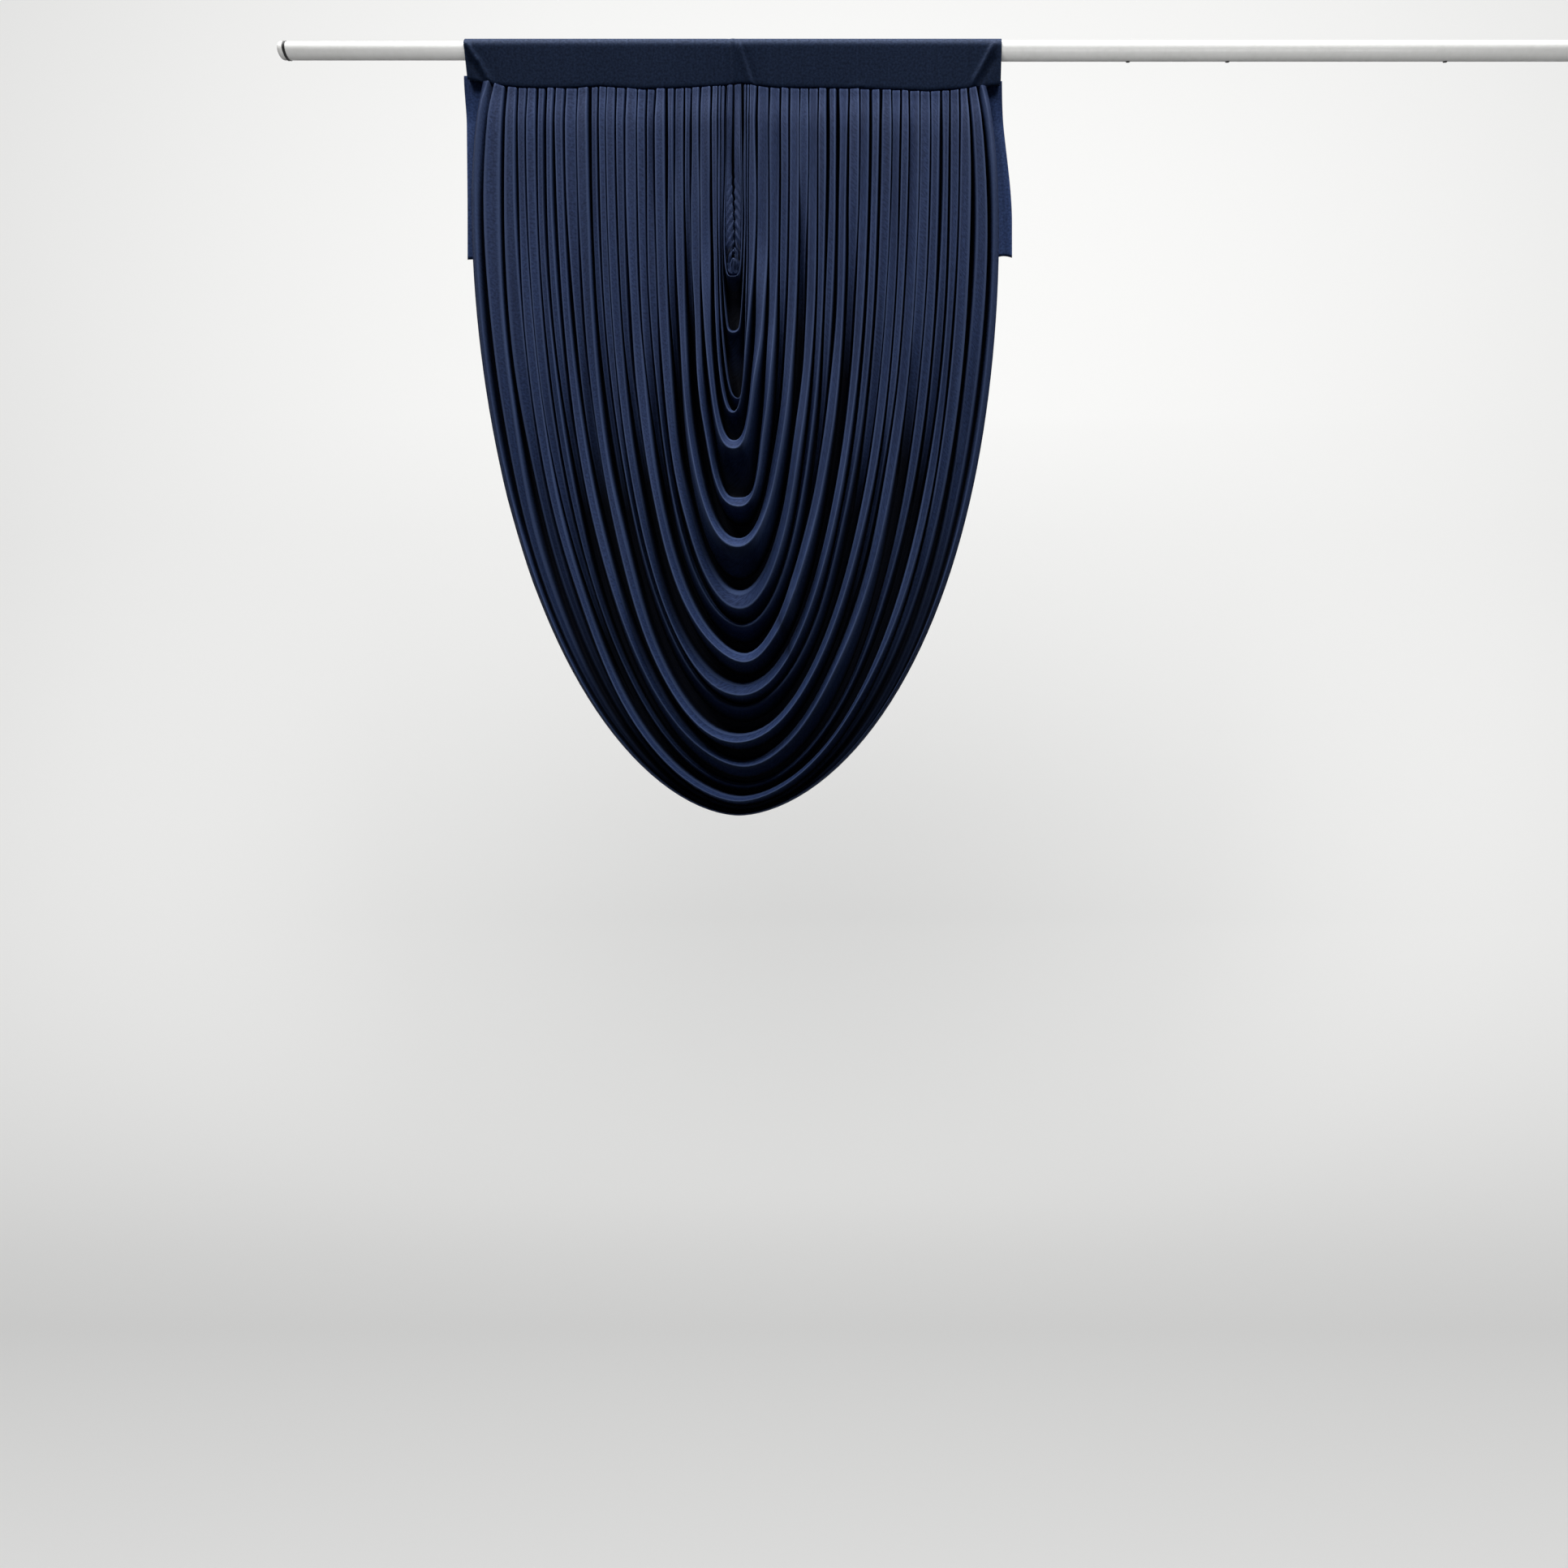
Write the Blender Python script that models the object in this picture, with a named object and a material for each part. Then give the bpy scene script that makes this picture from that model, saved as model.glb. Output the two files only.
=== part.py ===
"""A gathered swag with a rod-pocket heading and two short tails, hanging on its rail.

Metres, +Z up. The rail runs along X through the origin, above the middle of the swag.
The front of the drape faces -Y. Each piece that is cut, sewn or fitted is one object.
"""

from collections import namedtuple
from math import asin, cos, pi, radians, sin

import bmesh
import bpy
import numpy as np

# ---- driving sizes -------------------------------------------------------------------
MM = 0.001
CLOTH = 1.5 * MM  # thickness of every sheet
GAP = 1.0 * MM  # left between a seam and the piece sewn to it

THIN_RADIUS = 16.0 * MM  # inner tube of the telescopic rail
THICK_RADIUS = 18.0 * MM  # outer tube
RAIL_LEFT = -955 * MM
RAIL_JOINT = 480 * MM  # where the inner tube goes into the outer one, inside the pocket
RAIL_RIGHT = 2030 * MM
CAP_LENGTH = 13 * MM
COLLAR_LENGTH = 5 * MM
COLLAR_LIP = 1.2 * MM
FIT_GAP = 0.3 * MM

POCKET_RADIUS = 20.5 * MM  # outside of the cloth where it goes over the rail
HEADING_LEFT = -560 * MM
HEADING_RIGHT = 561 * MM

# The seam under the pocket is not straight: its drop below the rail's axis, along X.
SeamPoint = namedtuple("SeamPoint", "x drop")
SEAM = [
    SeamPoint(-560, 60),
    SeamPoint(-540, 63),
    SeamPoint(-500, 72),
    SeamPoint(-440, 77),
    SeamPoint(-350, 78),
    SeamPoint(-280, 74),
    SeamPoint(-190, 80),
    SeamPoint(-100, 77),
    SeamPoint(-25, 73),
    SeamPoint(15, 68),
    SeamPoint(90, 77),
    SeamPoint(260, 79),
    SeamPoint(410, 84),
    SeamPoint(490, 79),
    SeamPoint(561, 71),
]

# One row for each gathered fold, from the middle of the swag out to its hem.
#   left, right  where the fold leaves the heading, mm along the rail
#   foot, drop   the lowest point of its lip, mm along the rail and below its axis
#   keep         how much of the fold is left at the foot: 0 has died out, 1 is a full lip
#   reach        how far the lip stands out in front of the rail's axis at the foot, mm
Fold = namedtuple("Fold", "left right foot drop keep reach")
FOLDS = [
    Fold(-3, 4, 4, 452, 1.0, 4),
    Fold(-20, 22, 6, 505, 1.0, 18),
    Fold(-27, 28, 6, 612, 1.0, 22),
    Fold(-40, 41, 2, 775, 1.0, 34),
    Fold(-59, 63, 7, 857, 1.0, 52),
    Fold(-81, 88, 20, 977, 1.0, 56),
    Fold(-96, 108, 14, 1008, 0.0, 0),
    Fold(-113, 129, 17, 1061, 1.0, 60),
    Fold(-133, 148, 13, 1116, 0.0, 0),
    Fold(-153, 168, 20, 1186, 1.0, 58),
    Fold(-174, 187, 24, 1217, 0.7, 46),
    Fold(-192, 207, 22, 1252, 0.0, 0),
    Fold(-213, 231, 30, 1296, 1.0, 56),
    Fold(-238, 254, 23, 1328, 0.0, 0),
    Fold(-258, 275, 22, 1364, 1.0, 54),
    Fold(-275, 298, 22, 1385, 0.6, 40),
    Fold(-292, 322, 16, 1420, 0.0, 0),
    Fold(-316, 342, 13, 1460, 1.0, 52),
    Fold(-341, 359, 18, 1482, 0.0, 0),
    Fold(-365, 380, 28, 1508, 1.0, 48),
    Fold(-385, 402, 23, 1527, 0.0, 0),
    Fold(-404, 424, 23, 1547, 0.6, 32),
    Fold(-419, 444, 18, 1566, 0.0, 0),
    Fold(-434, 462, 18, 1580, 1.0, 38),
    Fold(-455, 483, 17, 1589, 0.3, 24),
    Fold(-491, 510, 18, 1597, 0.3, 20),
    Fold(-558, 562, 21, 1606, 1.0, 24),
]
RIM_ROW = 1  # rows 0 and 1 are the inner edge and its rim, drawn up into a slit and a pouch
HEM_ROW = len(FOLDS) - 1
FULL_LIP = 0.5  # a fold that keeps at least this much still shows as a lip at the foot

# Shape of a fold where it hangs as a leg. Widths are in fold spacings.
FACE_HALF = 0.39  # half the flat front
VALLEY_HALF = 0.08  # half the narrow bottom between two folds
LEG_FRONT = -13 * MM
LEG_BACK = 14 * MM
SEAM_SQUEEZE = 0.35  # how much of that depth is left where the gathers are sewn
SEAM_RUN = 0.06  # part of the length over which the gathers open

# Shape of a fold at its foot, as parts of the way to the next lip.
SHELF_TOP = 0.36
SHELF_FRONT = 0.10
LIP_UNDER = 0.06
BELLY_END = 0.34
SHELF_DEPTH = 0.15  # parts of the way from the back wall to the lip
BELLY_DEPTH = 0.30
WALL_MARGIN = 0.04  # between the belly of one lip and the back wall under it
DEAD_PLACES = (0.1, 0.35, 0.65, 0.9)  # where a fold that has died out lies on that wall
HEM_DEPTH = 0.65
EDGE_ROLL = 0.4  # how far forward the inner edge lies beside the slit

# Stations along a fold, as parts of the way from its foot up to the heading.
STATIONS = [0, 0.05, 0.10, 0.155, 0.22, 0.30, 0.40, 0.55, 0.75, 0.94, 1]
FOOT_FULL, FOOT_NONE = 0.12, 0.62  # the foot's shape fades out between these
DIED, WHOLE = 0.25, 0.70  # a fold that dies out does so between these

Tail = namedtuple("Tail", "side edge_top edge_end drop notch")
TAILS = {
    "tail_left": Tail(-1, 571, 569, 427, 2),
    "tail_right": Tail(1, 565, 588, 423, 5),
}
TAIL_WIDTH = 110 * MM
TAIL_Y_TOP = 10 * MM
TAIL_Y = 26 * MM
TAIL_WAVE = 4 * MM
TAIL_ACROSS = 10
TAIL_DOWN = 6

# ---- materials -----------------------------------------------------------------------
NAVY_KNIT = ("navy_knit", (0.022, 0.036, 0.088), 0.55, 0.0)
WHITE_ENAMEL = ("white_enamel", (0.80, 0.80, 0.79), 0.35, 0.0)
WHITE_PLASTIC = ("white_plastic", (0.72, 0.72, 0.71), 0.45, 0.0)
BLACK_RUBBER = ("black_rubber", (0.012, 0.012, 0.013), 0.6, 0.0)


def material(finish):
    name, colour, roughness, metallic = finish
    found = bpy.data.materials.get(name)
    if found:
        return found
    made = bpy.data.materials.new(name)
    made.use_nodes = True
    shader = made.node_tree.nodes["Principled BSDF"]
    shader.inputs["Base Color"].default_value = (*colour, 1)
    shader.inputs["Roughness"].default_value = roughness
    shader.inputs["Metallic"].default_value = metallic
    made.diffuse_color = (*colour, 1)
    return made


def add_object(name, mesh, finish):
    mesh.materials.append(material(finish))
    piece = bpy.data.objects.new(name, mesh)
    bpy.context.collection.objects.link(piece)
    return piece


def mesh_from(name, points, faces):
    """A mesh of the given corners and faces, with every face turned outwards."""
    shape = bmesh.new()
    corners = [shape.verts.new(point) for point in points]
    for face in faces:
        shape.faces.new([corners[index] for index in face])
    bmesh.ops.recalc_face_normals(shape, faces=shape.faces)
    mesh = bpy.data.meshes.new(name)
    shape.to_mesh(mesh)
    shape.free()
    return mesh


def smoothstep(start, end, value):
    part = np.clip((np.asarray(value, float) - start) / (end - start), 0, 1)
    return part * part * (3 - 2 * part)


def seam_drop(x):
    """How far below the rail's axis the pocket's seam runs at x, in metres."""
    along = [point.x * MM for point in SEAM]
    return np.interp(x, along, [point.drop * MM for point in SEAM])


# ---- the rail ------------------------------------------------------------------------
def turned(name, profile, finish, segments=32):
    """A solid turned about the rail's axis. The profile lists x and radius, left to right."""
    shape = bmesh.new()
    rings = []
    for x, radius in profile:
        turns = [2 * pi * step / segments for step in range(segments)]
        rings.append([shape.verts.new((x, radius * cos(a), radius * sin(a))) for a in turns])
    for ring, following in zip(rings, rings[1:]):
        for step in range(segments):
            after = (step + 1) % segments
            shape.faces.new((ring[step], ring[after], following[after], following[step]))
    shape.faces.new(rings[0])
    shape.faces.new(rings[-1])
    bmesh.ops.recalc_face_normals(shape, faces=shape.faces)
    mesh = bpy.data.meshes.new(name)
    shape.to_mesh(mesh)
    shape.free()
    mesh.shade_smooth()
    mesh.set_sharp_from_angle(angle=radians(35))
    return add_object(name, mesh, finish)


def cap_profile(end, radius, outward):
    """A plug with a rounded rim and a flat middle; end is the tube's end, outward -1 or +1."""
    start = end + outward * FIT_GAP
    steps = [(0, 1.0), (0.45, 1.0), (0.75, 0.93), (0.93, 0.78), (1.0, 0.60)]
    profile = [(start + outward * part * CAP_LENGTH, radius * width) for part, width in steps]
    return sorted(profile)


def build_rail():
    tube_end = RAIL_LEFT + CAP_LENGTH + COLLAR_LENGTH + 2 * FIT_GAP
    collar_start = RAIL_LEFT + CAP_LENGTH + FIT_GAP
    thick_end = RAIL_RIGHT - CAP_LENGTH - FIT_GAP
    thick_start = RAIL_JOINT + FIT_GAP
    turned("rail_thin", [(tube_end, THIN_RADIUS), (RAIL_JOINT, THIN_RADIUS)], WHITE_ENAMEL)
    turned("rail_thick", [(thick_start, THICK_RADIUS), (thick_end, THICK_RADIUS)], WHITE_ENAMEL)
    collar_radius = THIN_RADIUS + COLLAR_LIP
    collar_end = collar_start + COLLAR_LENGTH
    collar = [(collar_start, collar_radius), (collar_end, collar_radius)]
    turned("rail_collar", collar, BLACK_RUBBER)
    turned("cap_left", cap_profile(RAIL_LEFT + CAP_LENGTH, THIN_RADIUS, -1), WHITE_PLASTIC)
    turned("cap_right", cap_profile(thick_end, THICK_RADIUS, 1), WHITE_PLASTIC)


# ---- the heading ---------------------------------------------------------------------
def pocket_section(radius, drop, tip, arc_steps=8):
    """The pocket's drop-shaped section: y and z, from the seam over the rail and back."""
    lean = asin(radius / drop)
    points = [(-tip, -drop)]
    for step in range(arc_steps + 1):
        angle = pi + lean - step * (pi + 2 * lean) / arc_steps
        points.append((radius * cos(angle), radius * sin(angle)))
    points.append((tip, -drop))
    return points


def build_heading():
    """A sleeve round the rail, open at both ends and sewn together along its lower edge."""
    stations = [HEADING_LEFT] + [p.x * MM for p in SEAM[1:-1]] + [HEADING_RIGHT]
    seam_depth = 5 * MM
    points, faces = [], []
    for x in stations:
        drop = float(seam_drop(x))
        outer = pocket_section(POCKET_RADIUS, drop, CLOTH / 2)
        inner = pocket_section(POCKET_RADIUS - CLOTH, drop - seam_depth, CLOTH / 8)
        points += [(x, y, z) for y, z in outer + inner]
    round_count = len(pocket_section(POCKET_RADIUS, 0.07, 0))
    ring = 2 * round_count

    def quads_round(first, last, shift):
        for step in range(round_count):
            a, b = shift + step, shift + (step + 1) % round_count
            faces.append((first + a, first + b, last + b, last + a))

    for station in range(len(stations) - 1):
        here, there = station * ring, (station + 1) * ring
        quads_round(here, there, 0)
        quads_round(here, there, round_count)
    for base in (0, (len(stations) - 1) * ring):
        for step in range(round_count):
            a, b = step, (step + 1) % round_count
            faces.append((base + a, base + b, base + round_count + b, base + round_count + a))
    add_object("heading", mesh_from("heading", points, faces), NAVY_KNIT)


# ---- the swag ------------------------------------------------------------------------
def fold_column(field):
    return np.array([getattr(fold, field) for fold in FOLDS], float)


def fold_line(row, side, parts, samples=160):
    """Points x and z of one fold's line, at parts of its length from foot to heading.

    The line is a quarter of a superellipse. The inner folds drop almost straight and
    turn tightly at the foot; the outer ones are close to an ellipse.
    """
    rows = np.arange(len(FOLDS))
    side_field = "left" if side < 0 else "right"
    head = np.interp(row, rows, fold_column(side_field)) * MM
    foot = np.interp(row, rows, fold_column("foot")) * MM
    drop = np.interp(row, rows, fold_column("drop")) * MM
    outness = row / HEM_ROW
    upright = np.interp(outness, [0, 0.15, 0.35, 0.6, 1], [5.0, 3.6, 3.0, 2.3, 2.0])
    fullness = 2.0 if side < 0 else np.interp(outness, [0, 0.6, 0.92, 1], [2.0, 2.05, 2.1, 2.3])
    turn = np.linspace(0, pi / 2, samples)
    widths = np.sin(turn) ** (2 / fullness)
    rises = 1 - np.cos(turn) ** (2 / upright)
    top = seam_drop(head) + GAP
    drawn_in = 1 - (1 - slit_width(row)) * smoothstep(0.25, 1.0, rises)
    x = foot + (head - foot) * widths * drawn_in
    z = -drop + (drop - top) * rises
    length = np.concatenate([[0], np.cumsum(np.hypot(np.diff(x), np.diff(z)))])
    wanted = np.asarray(parts) * length[-1]
    return np.interp(wanted, length, x), np.interp(wanted, length, z)


def slit_width(row):
    """The folds next to the inner edge are drawn together at the heading."""
    return np.interp(row, [0, RIM_ROW, RIM_ROW + 1, RIM_ROW + 2], [0.3, 0.3, 0.8, 1.0])


def foot_rows():
    """For each fold, the rows of the lips above and below it at the foot."""
    lips = [row for row, fold in enumerate(FOLDS) if fold.keep >= FULL_LIP]
    above = [max([lip for lip in lips if lip < row], default=row - 1) for row in range(len(FOLDS))]
    below = [min([lip for lip in lips if lip > row], default=row + 1) for row in range(len(FOLDS))]
    return above, below


def fold_section(part):
    """Rows and depths of the cloth's section, from the inner edge out to the hem.

    part is the place along the folds, 0 at the foot and 1 at the heading. A row is a
    place among the folds, and may lie between two of them.
    """
    footness = 1 - smoothstep(FOOT_FULL, FOOT_NONE, part)
    opened = SEAM_SQUEEZE + (1 - SEAM_SQUEEZE) * smoothstep(0, SEAM_RUN, 1 - part)
    back = LEG_BACK * opened
    leg_front = LEG_FRONT * opened
    above, below = foot_rows()

    def mix(leg, foot):
        return (1 - footness) * leg + footness * foot

    edge, rim = FOLDS[0], FOLDS[RIM_ROW]
    rows = [0.0, RIM_ROW - 0.45, RIM_ROW]
    depths = [mix(leg_front * EDGE_ROLL, -edge.reach * MM), mix(leg_front, -rim.reach * MM),
              mix(leg_front, -rim.reach * MM)]
    for row in range(RIM_ROW + 1, HEM_ROW):
        fold = FOLDS[row]
        kept = fold.keep + (1 - fold.keep) * smoothstep(DIED, WHOLE, part)
        front = mix(leg_front, -fold.reach * MM)
        depth = back + kept * (front - back)
        leg_rows = (row - 0.5 + VALLEY_HALF, row - FACE_HALF, row + FACE_HALF, row + 0.5 - VALLEY_HALF)
        if fold.keep >= FULL_LIP:
            up, down = row - above[row], below[row] - row
            foot_places = (row - SHELF_TOP * up, row - SHELF_FRONT * up,
                           row + LIP_UNDER * down, row + BELLY_END * down)
            ends = (SHELF_DEPTH, BELLY_DEPTH)
        else:
            span = below[row] - above[row]
            order, count = row - above[row], span - 1
            shelf_below = SHELF_TOP if below[row] < HEM_ROW else 0
            start = above[row] + (BELLY_END + WALL_MARGIN) * span
            end = below[row] - (shelf_below + WALL_MARGIN) * span
            width = (end - start) / count
            foot_places = tuple(start + width * (order - 1 + part) for part in DEAD_PLACES)
            ends = (0.0, 0.0)
        rows += [mix(leg, foot) for leg, foot in zip(leg_rows, foot_places)]
        depths += [back + footness * ends[0] * (depth - back), depth, depth,
                   back + footness * ends[1] * (depth - back)]
    hem = FOLDS[HEM_ROW]
    rows.append(HEM_ROW)
    depths.append(mix(leg_front * 0.8, back - HEM_DEPTH * (back + hem.reach * MM)))
    return np.array(rows), np.array(depths)


def build_swag():
    """One sheet: the folds fall from the heading, turn at the foot and rise to it again."""
    samples = np.arange(0, HEM_ROW + 0.01, 0.125)
    lines = {side: [fold_line(row, side, STATIONS) for row in samples] for side in (-1, 1)}
    walk = [(-1, step) for step in range(len(STATIONS) - 1, 0, -1)]
    walk += [(1, step) for step in range(len(STATIONS))]
    points = []
    for side, step in walk:
        rows, depths = fold_section(STATIONS[step])
        x = np.interp(rows, samples, [line[0][step] for line in lines[side]])
        z = np.interp(rows, samples, [line[1][step] for line in lines[side]])
        points += list(zip(x, depths, z))
    across = len(points) // len(walk)
    faces = []
    for station in range(len(walk) - 1):
        for column in range(across - 1):
            corner = station * across + column
            faces.append((corner, corner + 1, corner + across + 1, corner + across))
    swag = add_object("swag", mesh_from("swag", points, faces), NAVY_KNIT)
    thicken(swag)


def thicken(piece):
    solid = piece.modifiers.new("cloth thickness", "SOLIDIFY")
    solid.thickness = CLOTH
    solid.offset = 0
    solid.use_even_offset = False


# ---- the tails -----------------------------------------------------------------------
def build_tail(name, tail):
    """A short flap sewn to the back of the seam, squared off at its lower end."""
    points, faces = [], []
    for down in range(TAIL_DOWN + 1):
        fall = down / TAIL_DOWN
        outer = (tail.edge_top + (tail.edge_end - tail.edge_top) * smoothstep(0, 0.8, fall)) * MM
        for across in range(TAIL_ACROSS + 1):
            inward = across / TAIL_ACROSS
            x = tail.side * (outer - inward * TAIL_WIDTH)
            top = float(seam_drop(x)) + GAP
            bottom = tail.drop * MM - tail.notch * MM * sin(3 * pi * inward)
            z = -(top + (bottom - top) * fall)
            out = TAIL_Y_TOP + (TAIL_Y - TAIL_Y_TOP) * smoothstep(0, 0.25, fall)
            y = out + TAIL_WAVE * sin(2.5 * pi * inward) * smoothstep(0.1, 0.9, fall)
            points.append((x, float(y), z))
    row = TAIL_ACROSS + 1
    for down in range(TAIL_DOWN):
        for across in range(TAIL_ACROSS):
            corner = down * row + across
            faces.append((corner, corner + 1, corner + row + 1, corner + row))
    thicken(add_object(name, mesh_from(name, points, faces), NAVY_KNIT))


def main():
    for old in list(bpy.data.objects):
        bpy.data.objects.remove(old, do_unlink=True)
    build_rail()
    build_heading()
    build_swag()
    for name, tail in TAILS.items():
        build_tail(name, tail)


main()
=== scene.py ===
"""A gathered navy swag with a flat rod pocket and two short tails, on a white rail.

Metres, +Z up. The rail runs along X through the origin; the front faces -Y.
"""

from collections import namedtuple
from math import asin, cos, pi, radians, sin

import bmesh
import bpy
import numpy as np
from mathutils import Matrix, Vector


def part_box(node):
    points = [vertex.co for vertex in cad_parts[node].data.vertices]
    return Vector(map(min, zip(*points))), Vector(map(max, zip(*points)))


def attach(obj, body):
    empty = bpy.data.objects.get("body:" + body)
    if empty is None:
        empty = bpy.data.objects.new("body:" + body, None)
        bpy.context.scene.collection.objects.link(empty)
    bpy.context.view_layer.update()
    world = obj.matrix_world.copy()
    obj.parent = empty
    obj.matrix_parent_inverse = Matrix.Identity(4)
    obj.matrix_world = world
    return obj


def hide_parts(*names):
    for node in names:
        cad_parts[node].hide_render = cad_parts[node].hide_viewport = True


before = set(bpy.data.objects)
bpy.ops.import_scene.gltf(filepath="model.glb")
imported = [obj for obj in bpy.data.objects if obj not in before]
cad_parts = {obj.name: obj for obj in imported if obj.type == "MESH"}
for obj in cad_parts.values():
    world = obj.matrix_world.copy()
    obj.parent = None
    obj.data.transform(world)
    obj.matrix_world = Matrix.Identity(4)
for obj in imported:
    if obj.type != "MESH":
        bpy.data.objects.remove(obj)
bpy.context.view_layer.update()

MM = 0.001

# ---- sizes of the sewn pieces --------------------------------------------------------
CLOTH = 1.1 * MM
POCKET_RADIUS = 20.0 * MM
HEADING_LEFT, HEADING_RIGHT = -0.560, 0.561

SeamPoint = namedtuple("SeamPoint", "x drop")
SEAM = [
    SeamPoint(-560, 60),
    SeamPoint(-540, 63),
    SeamPoint(-500, 72),
    SeamPoint(-440, 77),
    SeamPoint(-350, 78),
    SeamPoint(-280, 74),
    SeamPoint(-190, 80),
    SeamPoint(-100, 77),
    SeamPoint(-25, 73),
    SeamPoint(15, 68),
    SeamPoint(90, 77),
    SeamPoint(260, 79),
    SeamPoint(410, 84),
    SeamPoint(490, 79),
    SeamPoint(561, 71),
]

# One row for each gathered fold, from the middle of the swag out to its hem. Places and
# sizes are in mm.
#   left, right  where the fold leaves the heading
#   foot, drop   the lowest point of its lip, along the rail and below its axis
#   keep         how much of the fold is left at the foot
#   reach        how far the lip stands out in front of the rail's axis at the foot
#   shelf, belly how far the cloth shows above and below the lip before it turns back
#   spread       how far the fold swings outwards on its way down
#   wide_l, wide_r  width of the flat face in the left and right leg, 1 is usual
Fold = namedtuple(
    "Fold", "left right foot drop keep reach shelf belly spread wide_l wide_r")
FOLDS = [
    Fold(6, 1, 0, 438, 1.0, 2, 0, 0, 0, 1.0, 1.0),
    Fold(-12, 14, 1, 484, 1.0, 26, 0, 0, 9, 1.0, 1.0),
    Fold(-22, 24, 1, 602, 1.0, 22, 8, 6, 2, 0.5, 0.5),
    Fold(-29, 30, 13, 742, 1.0, 30, 6, 9, 0, 0.5, 0.6),
    Fold(-37, 38, 2, 775, 1.0, 38, 12, 10, 0, 0.8, 1.0),
    Fold(-58, 62, 7, 857, 1.0, 54, 30, 30, 0, 1.0, 1.0),
    Fold(-81, 88, 20, 977, 1.0, 58, 34, 16, 0, 0.9, 1.0),
    Fold(-96, 108, 14, 1008, 0.0, 0, 0, 0, 0, 0.8, 0.7),
    Fold(-113, 129, 17, 1061, 1.0, 58, 34, 44, 0, 1.0, 1.0),
    Fold(-133, 148, 13, 1116, 0.0, 0, 0, 0, 0, 0.7, 0.9),
    Fold(-153, 168, 20, 1186, 1.0, 60, 36, 9, 0, 1.0, 1.05),
    Fold(-174, 187, 24, 1217, 0.8, 50, 12, 24, 0, 0.8, 0.9),
    Fold(-192, 207, 22, 1252, 0.0, 0, 0, 0, 0, 1.0, 0.7),
    Fold(-213, 231, 30, 1296, 1.0, 58, 26, 10, 0, 1.05, 1.0),
    Fold(-238, 254, 23, 1328, 0.0, 0, 0, 0, 0, 0.8, 1.05),
    Fold(-258, 275, 22, 1364, 1.0, 56, 28, 6, 0, 0.9, 1.0),
    Fold(-275, 298, 22, 1385, 0.75, 46, 14, 20, 0, 1.0, 0.7),
    Fold(-292, 322, 16, 1420, 0.0, 0, 0, 0, 0, 0.6, 0.9),
    Fold(-316, 342, 13, 1460, 1.0, 54, 22, 7, 0, 1.05, 1.05),
    Fold(-341, 359, 18, 1482, 0.0, 0, 0, 0, 0, 1.0, 0.7),
    Fold(-365, 380, 28, 1508, 1.0, 50, 22, 20, 0, 0.9, 1.0),
    Fold(-385, 402, 23, 1527, 0.0, 0, 0, 0, 2, 0.7, 0.9),
    Fold(-404, 424, 23, 1547, 0.6, 34, 6, 5, 4, 0.65, 1.05),
    Fold(-424, 446, 18, 1566, 0.0, 0, 0, 0, 7, 1.0, 0.8),
    Fold(-443, 464, 16, 1580, 1.0, 40, 12, 4, 10, 0.9, 1.0),
    Fold(-465, 483, 15, 1590, 0.3, 24, 0, 0, 13, 0.8, 0.8),
    Fold(-513, 522, 14, 1599, 0.3, 20, 0, 0, 16, 0.78, 0.78),
    Fold(-558, 562, 12, 1608, 1.0, 24, 0, 0, 20, 1.0, 1.0),
]
RIM_ROW = 1  # rows 0 and 1 are the inner edge and its rim, drawn up into a slit and a pouch
HEM_ROW = len(FOLDS) - 1
FULL_LIP = 0.5  # a fold that keeps this much of itself has a lip of its own at the foot

# The legs. Widths are parts of the step from one fold to the next.
FACE_HALF, FACE_HALF_MOST = 0.385, 0.435
VALLEY_HALF = 0.07
LEG_FRONT, LEG_BACK = -14 * MM, 15 * MM
FACE_DISH = 0.9 * MM  # the flat faces are a little hollow between their edges
GAP_SHUT = 11 * MM  # a gap is this much less deep where two folds close on each other
SHUT_FROM, SHUT_TO = 0.15, 0.9  # how much unevenness starts to close a gap, and closes it
SHUT_LIT, SEAM_LIT = 0.40, 0.35  # how far shut gaps and the gathers are kept out of the painted shade
LOOSE_FROM = 0.5  # the legs are uneven above this part of their length

# The gathered edge, just behind the heading.
SEAM_FRONT, SEAM_BACK = 2.7 * MM, 5.0 * MM
ALLOWANCE = 5 * MM  # how far it stands up behind the heading
PUFF_RUN, PUFF_PART = 6 * MM, 0.5  # the gathers puff out by this part over this run
OPEN_RUN = 80 * MM  # and have opened to their full depth here
PINCH, PINCHED_FROM, PINCH_RUN = 34 * MM, 24.6, 150 * MM  # the outer folds are drawn in

# The folds' lines, from the middle of the swag (0) to its hem (1): how upright their
# legs hang, and how full their feet are.
UPRIGHT_PLACES = (0, 0.15, 0.35, 0.6, 1)
UPRIGHT = {-1: (5.0, 3.6, 3.0, 2.35, 2.3), 1: (5.0, 3.6, 3.0, 2.35, 2.6)}
FULL_PLACES = (0, 0.04, 0.07, 0.15, 0.4, 0.6, 1)
FULL = (4.5, 4.5, 2.7, 2.5, 2.0, 2.0, 1.8)
LINE_SAMPLES = 240
LINES_PER_FOLD = 8
NEAR_SEAM = (0, 2.5, 5, 7, 9.5, 13, 18, 26, 38, 55, 80)  # places under the seam, in mm
STATIONS = 50  # places along each leg below its gathers
FOOT_CROWDING = 1.3  # above 1 they lie closer together near the foot

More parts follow.
